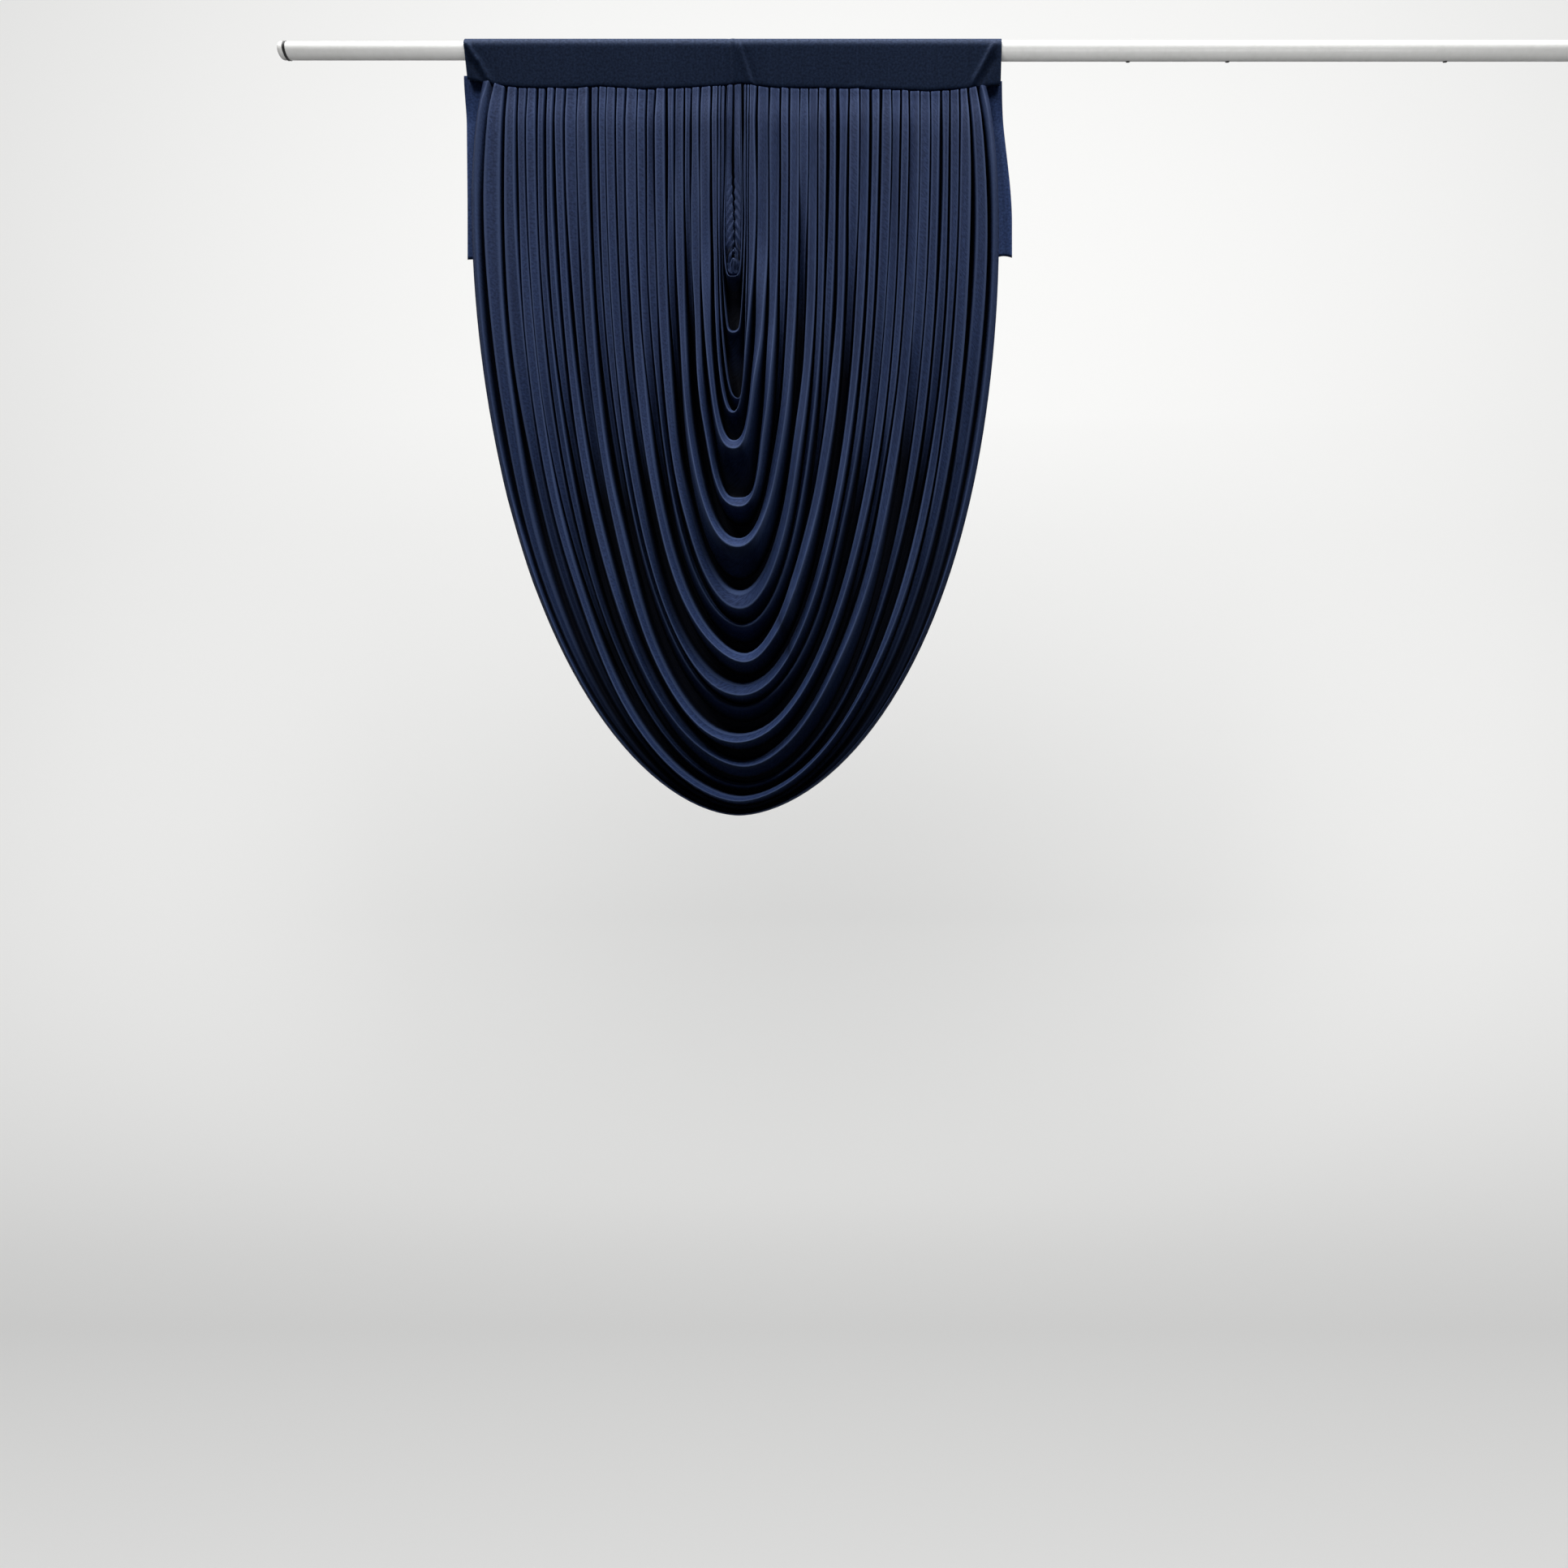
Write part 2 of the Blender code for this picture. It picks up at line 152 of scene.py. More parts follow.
# How uneven the folds are: what is added to a side's seed, how much of a fold's length
# one swing takes, and how much it does.
Uneven = namedtuple("Uneven", "seed run amount")
SWAY = Uneven(0, 0.2, 0.16)  # sideways, in rows
STAND = Uneven(10, 0.3, 4.5 * MM)  # towards the front or the back
TILT = Uneven(20, 0.3, 3.0 * MM)  # one edge of a face further out than the other
SWELL = Uneven(30, 0.22, 0.34)  # wider or narrower
FADE_SEED, FADE_LEAST, FADE_MOST = 40, -0.12, 0.16  # where a fold without a lip dies
SHUT = Uneven(50, 0.24, 1)
SIDE_SEEDS = {-1: 11, 1: 12}
LIP_SEEDS, LIP_RUN = (61, 62, 63), 0.17
LIP_LEAN, LIP_WIDTH, LIP_LIFT = 0.16, 0.3, 0.05
LIP_LEVEL = 0.06  # both sides of a lip meet level at its foot, and are uneven from here

# At the foot a fold's face leans back from its lip: places as parts of its shelf and
# belly, and how far out each stands as a part of the lip.
FootPoint = namedtuple("FootPoint", "shelf belly out")
FOOT = [
    FootPoint(1.35, 0, 0.04),
    FootPoint(1.00, 0, 0.66),
    FootPoint(0.50, 0, 0.88),
    FootPoint(0, 0, 1.0),
    FootPoint(0, 1.0, 0.38),
]
MOST_SHELF, MOST_BELLY = 0.42, 0.40  # parts of the way to the next lip
HEM_DEPTH, HEM_TURN = 0.65, 0.28  # the hem's edge turns back: its depth, and its width
HEM_EDGE = 0.2  # and its depth in the legs
# Folds without a lip end in the wall between the lips above and below them.
WALL_MARGIN = 0.04
DEAD_PLACES = (0.1, 0.35, 0.5, 0.65, 0.9)
LEG_OUTS = (0.0, 1.0, 1.0, 1.0, 0.0)
PAINTED_SHADE_BELOW = 0.6  # cloth further back than this part of a fold's depth lies in a hollow and gets painted shade
FOOT_FULL, FOOT_NONE = 0.12, 0.62  # where a foot turns into a leg, as parts of its length
DIED, WHOLE = 0.25, 0.70  # where a fold without a lip has died, and is whole

# The middle of the swag: rows and depths of its slit and pouch, as parts of the folds'
# depth. The left edge passes behind the right one, so the slit is closed at its back.
SlitPoint = namedtuple(
    "SlitPoint", "left_row left_out right_row right_out foot_row foot_out")
SLIT = [
    SlitPoint(0.00, -0.70, 0.00, -0.20, 0.00, -0.30),
    SlitPoint(0.40, -0.62, 0.04, 0.10, 0.08, -0.10),
    SlitPoint(0.52, 0.70, 0.14, 0.70, 0.20, 0.42),
    SlitPoint(0.72, 1.00, 0.50, 1.00, 0.52, 0.66),
    SlitPoint(0.88, 0.92, 0.86, 0.92, 0.88, 0.66),
    SlitPoint(0.94, 0.30, 0.94, 0.30, 0.94, 0.30),
    SlitPoint(1.03, 0.85, 1.03, 0.85, 1.03, 1.00),
    SlitPoint(1.14, 0.10, 1.14, 0.10, 1.10, 0.30),
    SlitPoint(1.32, -0.90, 1.32, -0.90, 1.30, -0.40),
]
SLIT_MIDDLE = 3 * MM  # where the slit lies along the rail
SLIT_POINTS_PUCKERED = 5
PUCKER, PUCKER_STEP, PUCKER_SLANT = 3.0 * MM, 21 * MM, 2.3
PUCKER_TOP, PUCKER_WHOLE = -220 * MM, -320 * MM  # heights where the puckers start
PUCKER_FADE = 0.4  # and the part of the way out where they begin to fade
SLIT_WOBBLE, SLIT_WOBBLE_STEP = 0.5, 23 * MM
POUCH_TOP, POUCH_WHOLE = -400 * MM, -440 * MM
CRUMPLE, CRUMPLE_STEP, CRUMPLE_DOWN, CRUMPLE_ACROSS = 1.5, 21 * MM, 1.7, 2.1

# How each of a fold's five corners is turned: points on the turn, its reach along the
# cloth in the legs and at the foot, and how much painted sheen its crease gets.
Corner = namedtuple("Corner", "steps leg foot crease")
INNER_VALLEY = Corner((0, 1), 1.5 * MM, 9 * MM, 0)
INNER_EDGE = Corner((0, 0.5, 1), 1.5 * MM, 9 * MM, 0.7)
FACE = Corner((0.5,), 3 * MM, 9 * MM, 0)
OUTER_EDGE = Corner((0, 0.5, 1), 1.5 * MM, 3.5 * MM, 1)
OUTER_VALLEY = Corner((0, 1), 1.4 * MM, 9 * MM, 0)
SLIT_EDGE = Corner((0, 0.5, 1), 1.0 * MM, 1.5 * MM, 0.6)
SLIT_CORNERS = [FACE, FACE, SLIT_EDGE, FACE, SLIT_EDGE, FACE, SLIT_EDGE, FACE, FACE]
FOLD_CORNERS = [INNER_VALLEY, INNER_EDGE, FACE, OUTER_EDGE, OUTER_VALLEY]
MOST_OF_STEP = 0.46  # a corner takes no more than this part of the cloth on either side


def smoothstep(start, end, value):
    part = np.clip((np.asarray(value, float) - start) / (end - start), 0, 1)
    return part * part * (3 - 2 * part)


def seam_drop(x):
    """How far below the rail's axis the pocket's seam runs at x."""
    return np.interp(x, [p.x * MM for p in SEAM], [p.drop * MM for p in SEAM])


LATTICE = 80  # random values each way
FIRST_ROW, FIRST_PART = 3, 30  # where a fold's row and place 0 lie among them


def wander(seed, rows, parts, run):
    """Smooth, seeded unevenness between -1 and 1 over fold rows and places along them."""
    lattice = np.random.default_rng(seed).uniform(-1, 1, (LATTICE, LATTICE))
    across = np.asarray(rows, float) + FIRST_ROW
    along = np.asarray(parts, float) / run + FIRST_PART
    across, along = np.broadcast_arrays(across, along)
    i, j = np.floor(across).astype(int), np.floor(along).astype(int)
    u, v = smoothstep(0, 1, across - i), smoothstep(0, 1, along - j)
    near = lattice[i, j] * (1 - v) + lattice[i, j + 1] * v
    far = lattice[i + 1, j] * (1 - v) + lattice[i + 1, j + 1] * v
    return near * (1 - u) + far * u


# ---- meshes --------------------------------------------------------------------------
def activate(piece):
    bpy.ops.object.select_all(action="DESELECT")
    piece.select_set(True)
    bpy.context.view_layer.objects.active = piece


def apply_modifiers(piece):
    activate(piece)
    for modifier in list(piece.modifiers):
        bpy.ops.object.modifier_apply(modifier=modifier.name)


def cloth_sheet(name, grid, flat_places):
    """A closed sheet of cloth through a grid of points.

    Each point has x, y, z, how much painted shade it gets in a hollow, and how much painted
    sheen it gets at a crease. Its place on the flat cloth, in metres, is its UV. Both marks
    go on the sheet's front only.
    """
    rows, columns = grid.shape[:2]
    faces = []
    for row in range(rows - 1):
        for column in range(columns - 1):
            first = row * columns + column
            faces.append((first, first + 1, first + columns + 1, first + columns))
    mesh = bpy.data.meshes.new(name)
    mesh.from_pydata(grid[:, :, :3].reshape(-1, 3).tolist(), [], faces)
    layer = mesh.uv_layers.new(name="flat_cloth")
    flat = flat_places.reshape(-1, 2)
    for loop in mesh.loops:
        layer.data[loop.index].uv = flat[loop.vertex_index]
    piece = bpy.data.objects.new(name, mesh)
    bpy.context.collection.objects.link(piece)
    mesh.shade_smooth()
    solid = piece.modifiers.new("thickness", "SOLIDIFY")
    solid.thickness = CLOTH
    solid.offset = 0
    apply_modifiers(piece)
    turn_outwards(piece)
    count = rows * columns
    places = np.array([vertex.co.y for vertex in piece.data.vertices])
    starts_in_front = places[:count].mean() < places[count:].mean()
    # column 3 is painted shade in the hollows, column 4 painted sheen on creases and fold
    # edges
    for column, attribute in ((3, "hollow"), (4, "pressed")):
        values = np.zeros(len(places))
        shown = slice(0, count) if starts_in_front else slice(count, 2 * count)
        values[shown] = grid[:, :, column].ravel()
        made = piece.data.attributes.new(attribute, "FLOAT", "POINT")
        made.data.foreach_set("value", np.clip(values, 0, 1).astype(np.float32))
    return piece


def turn_outwards(piece):
    shape = bmesh.new()
    shape.from_mesh(piece.data)
    bmesh.ops.recalc_face_normals(shape, faces=shape.faces)
    shape.to_mesh(piece.data)
    shape.free()


# ---- creases -------------------------------------------------------------------------
# Soft ridges (height above 0) and troughs, from one end to the other, in mm.
Crease = namedtuple("Crease", "x0 z0 x1 z1 height width")
CREASED_IN_FRONT_OF = 4 * MM  # the back of the pocket and the valleys stay smooth
TALL_CREASE = 8  # in mm: creases this tall reach the valleys too
EVERYWHERE = 1
CREASE_START, CREASE_WHOLE = -0.08, 0.2  # parts of a crease where it starts and is whole
SHEEN_PAINTED_PER_MM, MOST_SHEEN_PAINTED = 0.12, 0.6  # ridges get painted sheen, a paler colour for the light they catch
SHADE_PAINTED_PER_MM, MOST_SHADE_PAINTED = 0.2, 0.8  # and troughs get painted shade, a darker colour for the shade in them
HEADING_CREASES = [
    Crease(-560, 6, -532, -34, 3.8, 5),
    Crease(-536, -26, -509, -72, 3.2, 5),
    Crease(-554, -24, -516, -78, -1.8, 6),
    Crease(548, 4, 500, -76, 4.6, 5),
    Crease(550, -22, 512, -74, -2.0, 6),
    Crease(12, 2, 40, -82, 3.4, 5),
    Crease(20, -6, 50, -80, -1.6, 6),
    Crease(-9, 20, -8, -76, -1.6, 2.5),
    Crease(0, 20, 1, -74, 1.8, 2.5),
    Crease(243, -76, 276, -75, 1.2, 3),
]
SWAG_CREASES = [
    Crease(-550, -330, -520, -80, 3.0, 5),
    Crease(520, -80, 548, -300, 3.0, 5),
    Crease(535, -100, 548, -130, 2.0, 5),
    Crease(-512, -860, -498, -1010, 2.2, 5),
    Crease(-488, -830, -462, -1060, 2.0, 5),
    Crease(-440, -1010, -400, -1240, 2.0, 6),
    Crease(470, -700, 478, -860, 2.0, 5),
    Crease(428, -1000, 360, -1280, 2.0, 6),
    Crease(120, -1090, 130, -1240, 3.0, 7),
    Crease(96, -1190, 128, -1290, -2.5, 7),
    Crease(-70, -800, -52, -860, 2.5, 5),
    Crease(-48, -760, -30, -850, 2.5, 5),
    Crease(-30, -1075, 20, -1100, 2.5, 5),
    Crease(-10, -1105, 40, -1085, 2.5, 5),
    Crease(10, -1120, 60, -1080, -2.5, 5),
    Crease(-60, -1060, -10, -1085, -2.0, 5),
    Crease(4, -420, 5, -462, 7, 7),
    Crease(-9, -428, 12, -414, -5, 2.5),
    Crease(13, -418, 13, -456, -5, 2.5),
    Crease(-5, -440, 9, -446, -4, 2),
    Crease(-12, -424, -12, -458, -4, 2.5),
]


def press(grid, creases):
    """Presses the creases into a grid's front, with painted sheen on ridges and painted
    shade in troughs.
    """
    points = grid.reshape(-1, 5)
    for crease in creases:
        depth = CREASED_IN_FRONT_OF if crease.height < TALL_CREASE else EVERYWHERE
        start = np.array([crease.x0, crease.z0]) * MM
        along = np.array([crease.x1, crease.z1]) * MM - start
        offset = points[:, [0, 2]] - start
        part = offset @ along / (along @ along)
        away = (offset @ np.array([-along[1], along[0]])) / np.hypot(*along)
        near = np.exp(-(away / (crease.width * MM))**2) * (points[:, 1] < depth)
        near = near * smoothstep(CREASE_START, CREASE_WHOLE, part)
        near = near * smoothstep(CREASE_START, CREASE_WHOLE, 1 - part)
        points[:, 1] -= crease.height * MM * near
        if crease.height > 0:
            # painted sheen on a ridge, and no painted shade there
            pale = min(SHEEN_PAINTED_PER_MM * crease.height, MOST_SHEEN_PAINTED)
            points[:, 3] *= 1 - near
            points[:, 4] = np.maximum(points[:, 4], near * pale)
        else:
            # painted shade in a trough
            dark = min(-SHADE_PAINTED_PER_MM * crease.height, MOST_SHADE_PAINTED)
            points[:, 3] = np.maximum(points[:, 3], near * dark)
    grid[:] = points.reshape(grid.shape)


# ---- the swag ------------------------------------------------------------------------
def fold_column(field):
    return np.array([getattr(fold, field) for fold in FOLDS], float)


def fold_line(row, side):
    """Points x and z of one fold's line at its places, and its length."""
    rows = np.arange(len(FOLDS))
    head = np.interp(row, rows, fold_column("left" if side < 0 else "right")) * MM
    foot = np.interp(row, rows, fold_column("foot")) * MM
    drop = np.interp(row, rows, fold_column("drop")) * MM
    spread = np.interp(row, rows, fold_column("spread")) * MM * side
    outness = row / HEM_ROW
    upright = np.interp(outness, UPRIGHT_PLACES, UPRIGHT[side])
    fullness = np.interp(outness, FULL_PLACES, FULL)
    turn = np.linspace(0, pi / 2, LINE_SAMPLES)
    widths = np.sin(turn) ** (2 / fullness)
    rises = 1 - np.cos(turn) ** (2 / upright)
    top = seam_drop(head) - ALLOWANCE
    x = foot + (head - foot + spread * (1 - rises)) * widths
    z = -drop + (drop - top) * rises
    pinch = PINCH * smoothstep(PINCHED_FROM, HEM_ROW, row)
    x = x - side * pinch * np.exp((z + top) / PINCH_RUN)
    length = np.concatenate([[0], np.cumsum(np.hypot(np.diff(x), np.diff(z)))])
    wanted = places_along(length[-1])
    return np.interp(wanted, length, x), np.interp(wanted, length, z), length[-1]


def places_along(length):
    """Distances from the foot at which the cloth is worked out, closer near the seam."""
    steps = np.linspace(0, 1, STATIONS, endpoint=False) ** FOOT_CROWDING
    open_part = (length - NEAR_SEAM[-1] * MM) * steps
    return np.concatenate([open_part, length - np.array(NEAR_SEAM[::-1]) * MM])


def foot_rows():
    """For each fold, the rows of the nearest lips above and below it."""
    rows = range(len(FOLDS))
    lips = [row for row, fold in enumerate(FOLDS) if fold.keep >= FULL_LIP]
    above = [max([lip for lip in lips if lip < row], default=row - 1) for row in rows]
    below = [min([lip for lip in lips if lip > row], default=row + 1) for row in rows]
    return above, below


def foot_sizes():
    """Each fold's shelf and belly in rows, from the drops of the lips around it."""
    shelves, bellies = np.zeros(len(FOLDS)), np.zeros(len(FOLDS))
    for row in range(RIM_ROW + 1, HEM_ROW):
        fold, above, below = FOLDS[row], ABOVE[row], BELOW[row]
        up = (row - above) * fold.shelf / (fold.drop - FOLDS[above].drop)
        down = (below - row) * fold.belly / (FOLDS[below].drop - fold.drop)
        shelves[row] = min(up, MOST_SHELF * (row - above) / FOOT[0].shelf)
        bellies[row] = min(down, MOST_BELLY * (below - row))
    return shelves, bellies


ABOVE, BELOW = foot_rows()
SHELVES, BELLIES = foot_sizes()


def mix(part, leg, foot):
    """A value part of the way from a leg's to a foot's."""
    return (1 - part) * leg + part * foot


def slit_section(side, footness, front, reach):
    """The inner edge and its rim: rows, depths and how far out each point stands."""
    rows, depths, outs = [], [], []
    for point in SLIT:
        if side < 0:
            leg_row, leg_out = point.left_row, point.left_out
        else:
            leg_row, leg_out = point.right_row, point.right_out
        rows.append(mix(footness, leg_row, point.foot_row))
        depths.append(mix(footness, leg_out * front, -point.foot_out * reach))
        outs.append(mix(footness, leg_out, point.foot_out))
    return rows, depths, outs


def lip_places(row, lift, fall):
    """Rows of a lip's points at the foot, and how far out each stands."""
    shelf = SHELVES[row] * (1 + LIP_WIDTH * fall)
    belly = BELLIES[row] * (1 - LIP_WIDTH * fall)
    lip = row + LIP_LIFT * lift * (BELOW[row] - ABOVE[row])
    places = [lip - shelf * point.shelf + belly * point.belly for point in FOOT]
    return places, [point.out for point in FOOT]


def wall_places(row):
    """Rows at the foot of a fold that has no lip, in the wall between two lips."""
    above, below = ABOVE[row], BELOW[row]
    span = below - above
    start = above + BELLIES[above] + WALL_MARGIN * span
    end = below - FOOT[0].shelf * SHELVES[below] - WALL_MARGIN * span
    width = (end - start) / (span - 1)
    return [start + width * (row - above - 1 + place) for place in DEAD_PLACES], LEG_OUTS


def fold_section(side, parts, unders):
    """The cloth's section at one place along the folds.

    For each fold, parts is 0 at the foot and 1 at its top end, and unders the distance
    below the seam. The section's points each have a row, a depth, how much painted shade
    they get for lying in a hollow, and how far they belong to the foot.
    """
    index = np.arange(len(FOLDS))
    seed = SIDE_SEEDS[side]

    def uneven(kind):
        return kind.amount * wander(seed + kind.seed, index, parts, kind.run)

    footness = 1 - smoothstep(FOOT_FULL, FOOT_NONE, parts)
    puffed = PUFF_PART * smoothstep(0, PUFF_RUN, unders)
    puffed = puffed + (1 - PUFF_PART) * smoothstep(0, OPEN_RUN, unders)
    loose = puffed * smoothstep(0, LOOSE_FROM, parts)
    shut = loose * smoothstep(SHUT_FROM, SHUT_TO, uneven(SHUT))
    backs = SEAM_BACK + (LEG_BACK - SEAM_BACK) * puffed - GAP_SHUT * shut
    fronts = SEAM_FRONT + (LEG_FRONT - SEAM_FRONT) * puffed + loose * uneven(STAND)
    sway, tilts = loose * uneven(SWAY), loose * uneven(TILT)
    swell = 1 + loose * uneven(SWELL)
    random = np.random.default_rng(seed + FADE_SEED)
    fade = random.uniform(FADE_LEAST, FADE_MOST, len(FOLDS))
    lift, lean, fall = (
        wander(lip_seed, index, side * parts, LIP_RUN) for lip_seed in LIP_SEEDS)
    lift = lift * smoothstep(0, LIP_LEVEL, parts)

    rows, depths, outs = slit_section(
        side, footness[RIM_ROW], fronts[RIM_ROW], FOLDS[RIM_ROW].reach * MM)
    feet = [footness[RIM_ROW]] * len(SLIT)
    for row in range(RIM_ROW + 1, HEM_ROW):
        fold, footed, back = FOLDS[row], footness[row], backs[row]
        wide = FACE_HALF * (fold.wide_l if side < 0 else fold.wide_r) * swell[row]
        wide = min(wide, FACE_HALF_MOST)
        middle = row + sway[row] * (1 - 2 * wide)
        whole = float(smoothstep(DIED + fade[row], WHOLE + fade[row], parts[row]))
        kept = fold.keep + (1 - fold.keep) * whole
        front = mix(footed, fronts[row], -fold.reach * MM * (1 + LIP_LEAN * lean[row]))
        depth = back + kept * (front - back)
        if fold.keep >= FULL_LIP:
            foot_places, foot_outs = lip_places(row, lift[row], fall[row])
        else:
            foot_places, foot_outs = wall_places(row)
        leg_places = (row - 0.5 + VALLEY_HALF, middle - wide, middle, middle + wide,
                      row + 0.5 - VALLEY_HALF)
        rows += [mix(footed, leg, foot) for leg, foot in zip(leg_places, foot_places)]
        leans = (0, tilts[row], FACE_DISH * kept * puffed[row], -tilts[row], 0)
        fold_outs = [mix(footed, leg, foot) for leg, foot in zip(LEG_OUTS, foot_outs)]
        depths += [back + out * (depth - back) + (1 - footed) * lean_out
                   for out, lean_out in zip(fold_outs, leans)]
        # shut gaps and the gathers under the seam are kept partly out of the painted shade
        lit = max(SHUT_LIT * shut[row], SEAM_LIT * (1 - puffed[row])) * (1 - footed)
        outs += [max(out, lit) * kept for out in fold_outs]
        feet += [footed] * len(FOLD_CORNERS)
    hem_out = LEG_BACK + FOLDS[HEM_ROW].reach * MM
    hem_front, footed = fronts[HEM_ROW], footness[HEM_ROW]
    rows += [HEM_ROW - HEM_TURN, HEM_ROW]
    depths.append(mix(footed, hem_front, LEG_BACK - hem_out))
    depths.append(mix(footed, hem_front * HEM_EDGE, LEG_BACK - HEM_DEPTH * hem_out))
    outs += [1, 1]
    feet += [footed] * 2
    # painted shade: cloth lying far back in a fold is marked to be coloured darker
    painted_hollow_shades = 1 - smoothstep(0, PAINTED_SHADE_BELOW, outs)
    return np.array(rows), np.array(depths), painted_hollow_shades, feet


def rounded(points, corners, feet):
    """The line through the points with each corner turned on a short curve.

    The points have x, y, z and how much painted shade they get in a hollow. Those of the
    line also have how much painted sheen they get at a crease.
    """
    steps = np.diff(points, axis=0)
    lengths = np.maximum(np.linalg.norm(steps[:, :3], axis=1), 1e-9)
    line = [(*points[0], 0)]
    end = points[0]
    for index in range(1, len(points) - 1):
        corner = corners[index]
        reach = corner.leg + feet[index] * (corner.foot - corner.leg)
        before = min(reach, MOST_OF_STEP * lengths[index - 1]) / lengths[index - 1]
        after = min(reach, MOST_OF_STEP * lengths[index]) / lengths[index]
        start = points[index] - steps[index - 1] * before
        if corner is not INNER_VALLEY:
            line.append((*(end + start) / 2, 0))
        end = points[index] + steps[index] * after
        for t in corner.steps:
            place = (1 - t) ** 2 * start + 2 * t * (1 - t) * points[index] + t * t * end
            line.append((*place, corner.crease))
    line.append((*points[-1], 0))
    return np.array(line)


def build_swag():
    """Both halves of the swag, from hem to hem through the slit, as one sheet."""
    samples = np.linspace(0, HEM_ROW, HEM_ROW * LINES_PER_FOLD + 1)
    corners = SLIT_CORNERS + FOLD_CORNERS * (HEM_ROW - RIM_ROW - 1) + [SLIT_EDGE, FACE]
    sections = []
    for side in (-1, 1):
        lines = [fold_line(row, side) for row in samples]
        x_lines = np.array([line[0] for line in lines])
        z_lines = np.array([line[1] for line in lines])
        lengths = np.array([line[2] for line in lines])[::LINES_PER_FOLD]
        places = np.array([places_along(length) for length in lengths])
        half = []
        for station in range(places.shape[1]):
            parts = places[:, station] / lengths
            unders = lengths - ALLOWANCE - places[:, station]
            rows, depths, painted_hollow_shades, feet = fold_section(side, parts, unders)
            x = np.interp(rows, samples, x_lines[:, station])
            z = np.interp(rows, samples, z_lines[:, station])
            half.append(rounded(np.column_stack([x, depths, z, painted_hollow_shades]), corners, feet))
        sections.append(half)
    grid = np.array(sections[0][::-1] + sections[1][1:])
    pucker_middle(grid)
    press(grid, SWAG_CREASES)
    return cloth_sheet("gathered_swag", grid, flat_places(grid, np.median))


def flat_places(grid, across):
    """Where each point of a grid lies on the flat cloth, in metres."""
    points = grid[:, :, :3]
    steps_across = np.linalg.norm(np.diff(points, axis=1, prepend=points[:, :1]), axis=2)
    steps_along = np.linalg.norm(np.diff(points, axis=0, prepend=points[:1]), axis=2)
    u = across(np.cumsum(steps_across, axis=1), axis=0)
    v = np.cumsum(steps_along, axis=0)
    return np.stack([np.broadcast_to(u, v.shape), v], axis=2)


def pucker_middle(grid):
    """Short slanting puckers down both sides of the slit, and a crumple in its pouch."""
    corners = SLIT_CORNERS[:SLIT_POINTS_PUCKERED]
    columns = sum(1 + len(corner.steps) for corner in corners)
    for line in grid:
        for column in range(columns):
            x, y, z = line[column][:3]
            near = 1 - smoothstep(PUCKER_FADE, 1, column / columns)
            near = float(near * smoothstep(PUCKER_TOP, PUCKER_WHOLE, z))
            slanted = z + PUCKER_SLANT * abs(x - SLIT_MIDDLE)
            crumpled = z * CRUMPLE_DOWN + CRUMPLE_ACROSS * x
            crumple = CRUMPLE * float(smoothstep(POUCH_TOP, POUCH_WHOLE, z))
            out = sin(2 * pi * slanted / PUCKER_STEP)
            out += crumple * sin(2 * pi * crumpled / CRUMPLE_STEP)
            wobble = SLIT_WOBBLE * sin(2 * pi * z / SLIT_WOBBLE_STEP)
            line[column][1] += near * PUCKER * out
            line[column][0] += near * PUCKER * wobble


# ---- the heading ---------------------------------------------------------------------
HEADING_COLUMNS = 330
POCKET_ARC_STEPS, POCKET_FACE_STEPS = 26, 14
# The front of the pocket's lower edge, where it turns in to its seam: y, and height above
# the seam.
POCKET_TURN_IN = [(-0.9 * MM, 0), (-1.7 * MM, 0.4 * MM), (-2.3 * MM, 1.3 * MM)]


def pocket_section(drop):
    """y and z round the pocket, from the front of the seam over the rail to its back."""
    lean = asin(POCKET_RADIUS / drop)
    over = []
    for step in range(POCKET_ARC_STEPS + 1):
        angle = pi + lean - step * (pi + 2 * lean) / POCKET_ARC_STEPS
        over.append((POCKET_RADIUS * cos(angle), POCKET_RADIUS * sin(angle)))
    front = [(y, height - drop) for y, height in POCKET_TURN_IN]
    (low_y, low_z), (high_y, high_z) = front[-1], over[0]
    for step in range(1, POCKET_FACE_STEPS):
        part = step / POCKET_FACE_STEPS
        front.append((low_y + (high_y - low_y) * part, low_z + (high_z - low_z) * part))
    back = [(-y, z) for y, z in reversed(front)]
    return np.array(front + over + back)


def build_heading():
    along = np.linspace(HEADING_LEFT, HEADING_RIGHT, HEADING_COLUMNS)
    grid = []
    for x in along:
        section = pocket_section(float(seam_drop(x)))
        places, marks = np.full(len(section), x), np.zeros((len(section), 2))
        grid.append(np.column_stack([places, section, marks]))
    grid = np.array(grid)
    press(grid, HEADING_CREASES)
    around = np.linalg.norm(np.diff(grid[:, :, :3], axis=1), axis=2)
    v = np.concatenate([np.zeros((len(grid), 1)), np.cumsum(around, axis=1)], axis=1)
    u = np.broadcast_to(along[:, None], v.shape)
    return cloth_sheet("pocket_heading", grid, np.stack([u, v], axis=2))


# ---- the tails -----------------------------------------------------------------------
# Where each tail's outer edge starts and ends along the rail, how far its end lies below
# the rail's axis, and how uneven that end is, in mm.
Tail = namedtuple("Tail", "side edge_top edge_end drop notch")
TAILS = {
    "tail_left": Tail(-1, 571, 569, 427, 2),
    "tail_right": Tail(1, 565, 588, 423, 5),
}
TAIL_TUCK = 13 * MM  # how far the tails reach up behind the pocket
TAIL_WIDTH, TAIL_Y_TOP, TAIL_Y, TAIL_WAVE = 110 * MM, 7.5 * MM, 21 * MM, 3 * MM
TAIL_STEPS = 60
# Parts of its length: its edge has swung out here, it has left the seam for its place
# behind the swag, and its waves start and are whole.
TAIL_SWUNG, TAIL_BEHIND, WAVES_START, WAVES_WHOLE = 0.8, 0.25, 0.1, 0.9
TAIL_WAVES, NOTCH_WAVES = 1.25, 1.5  # across its width


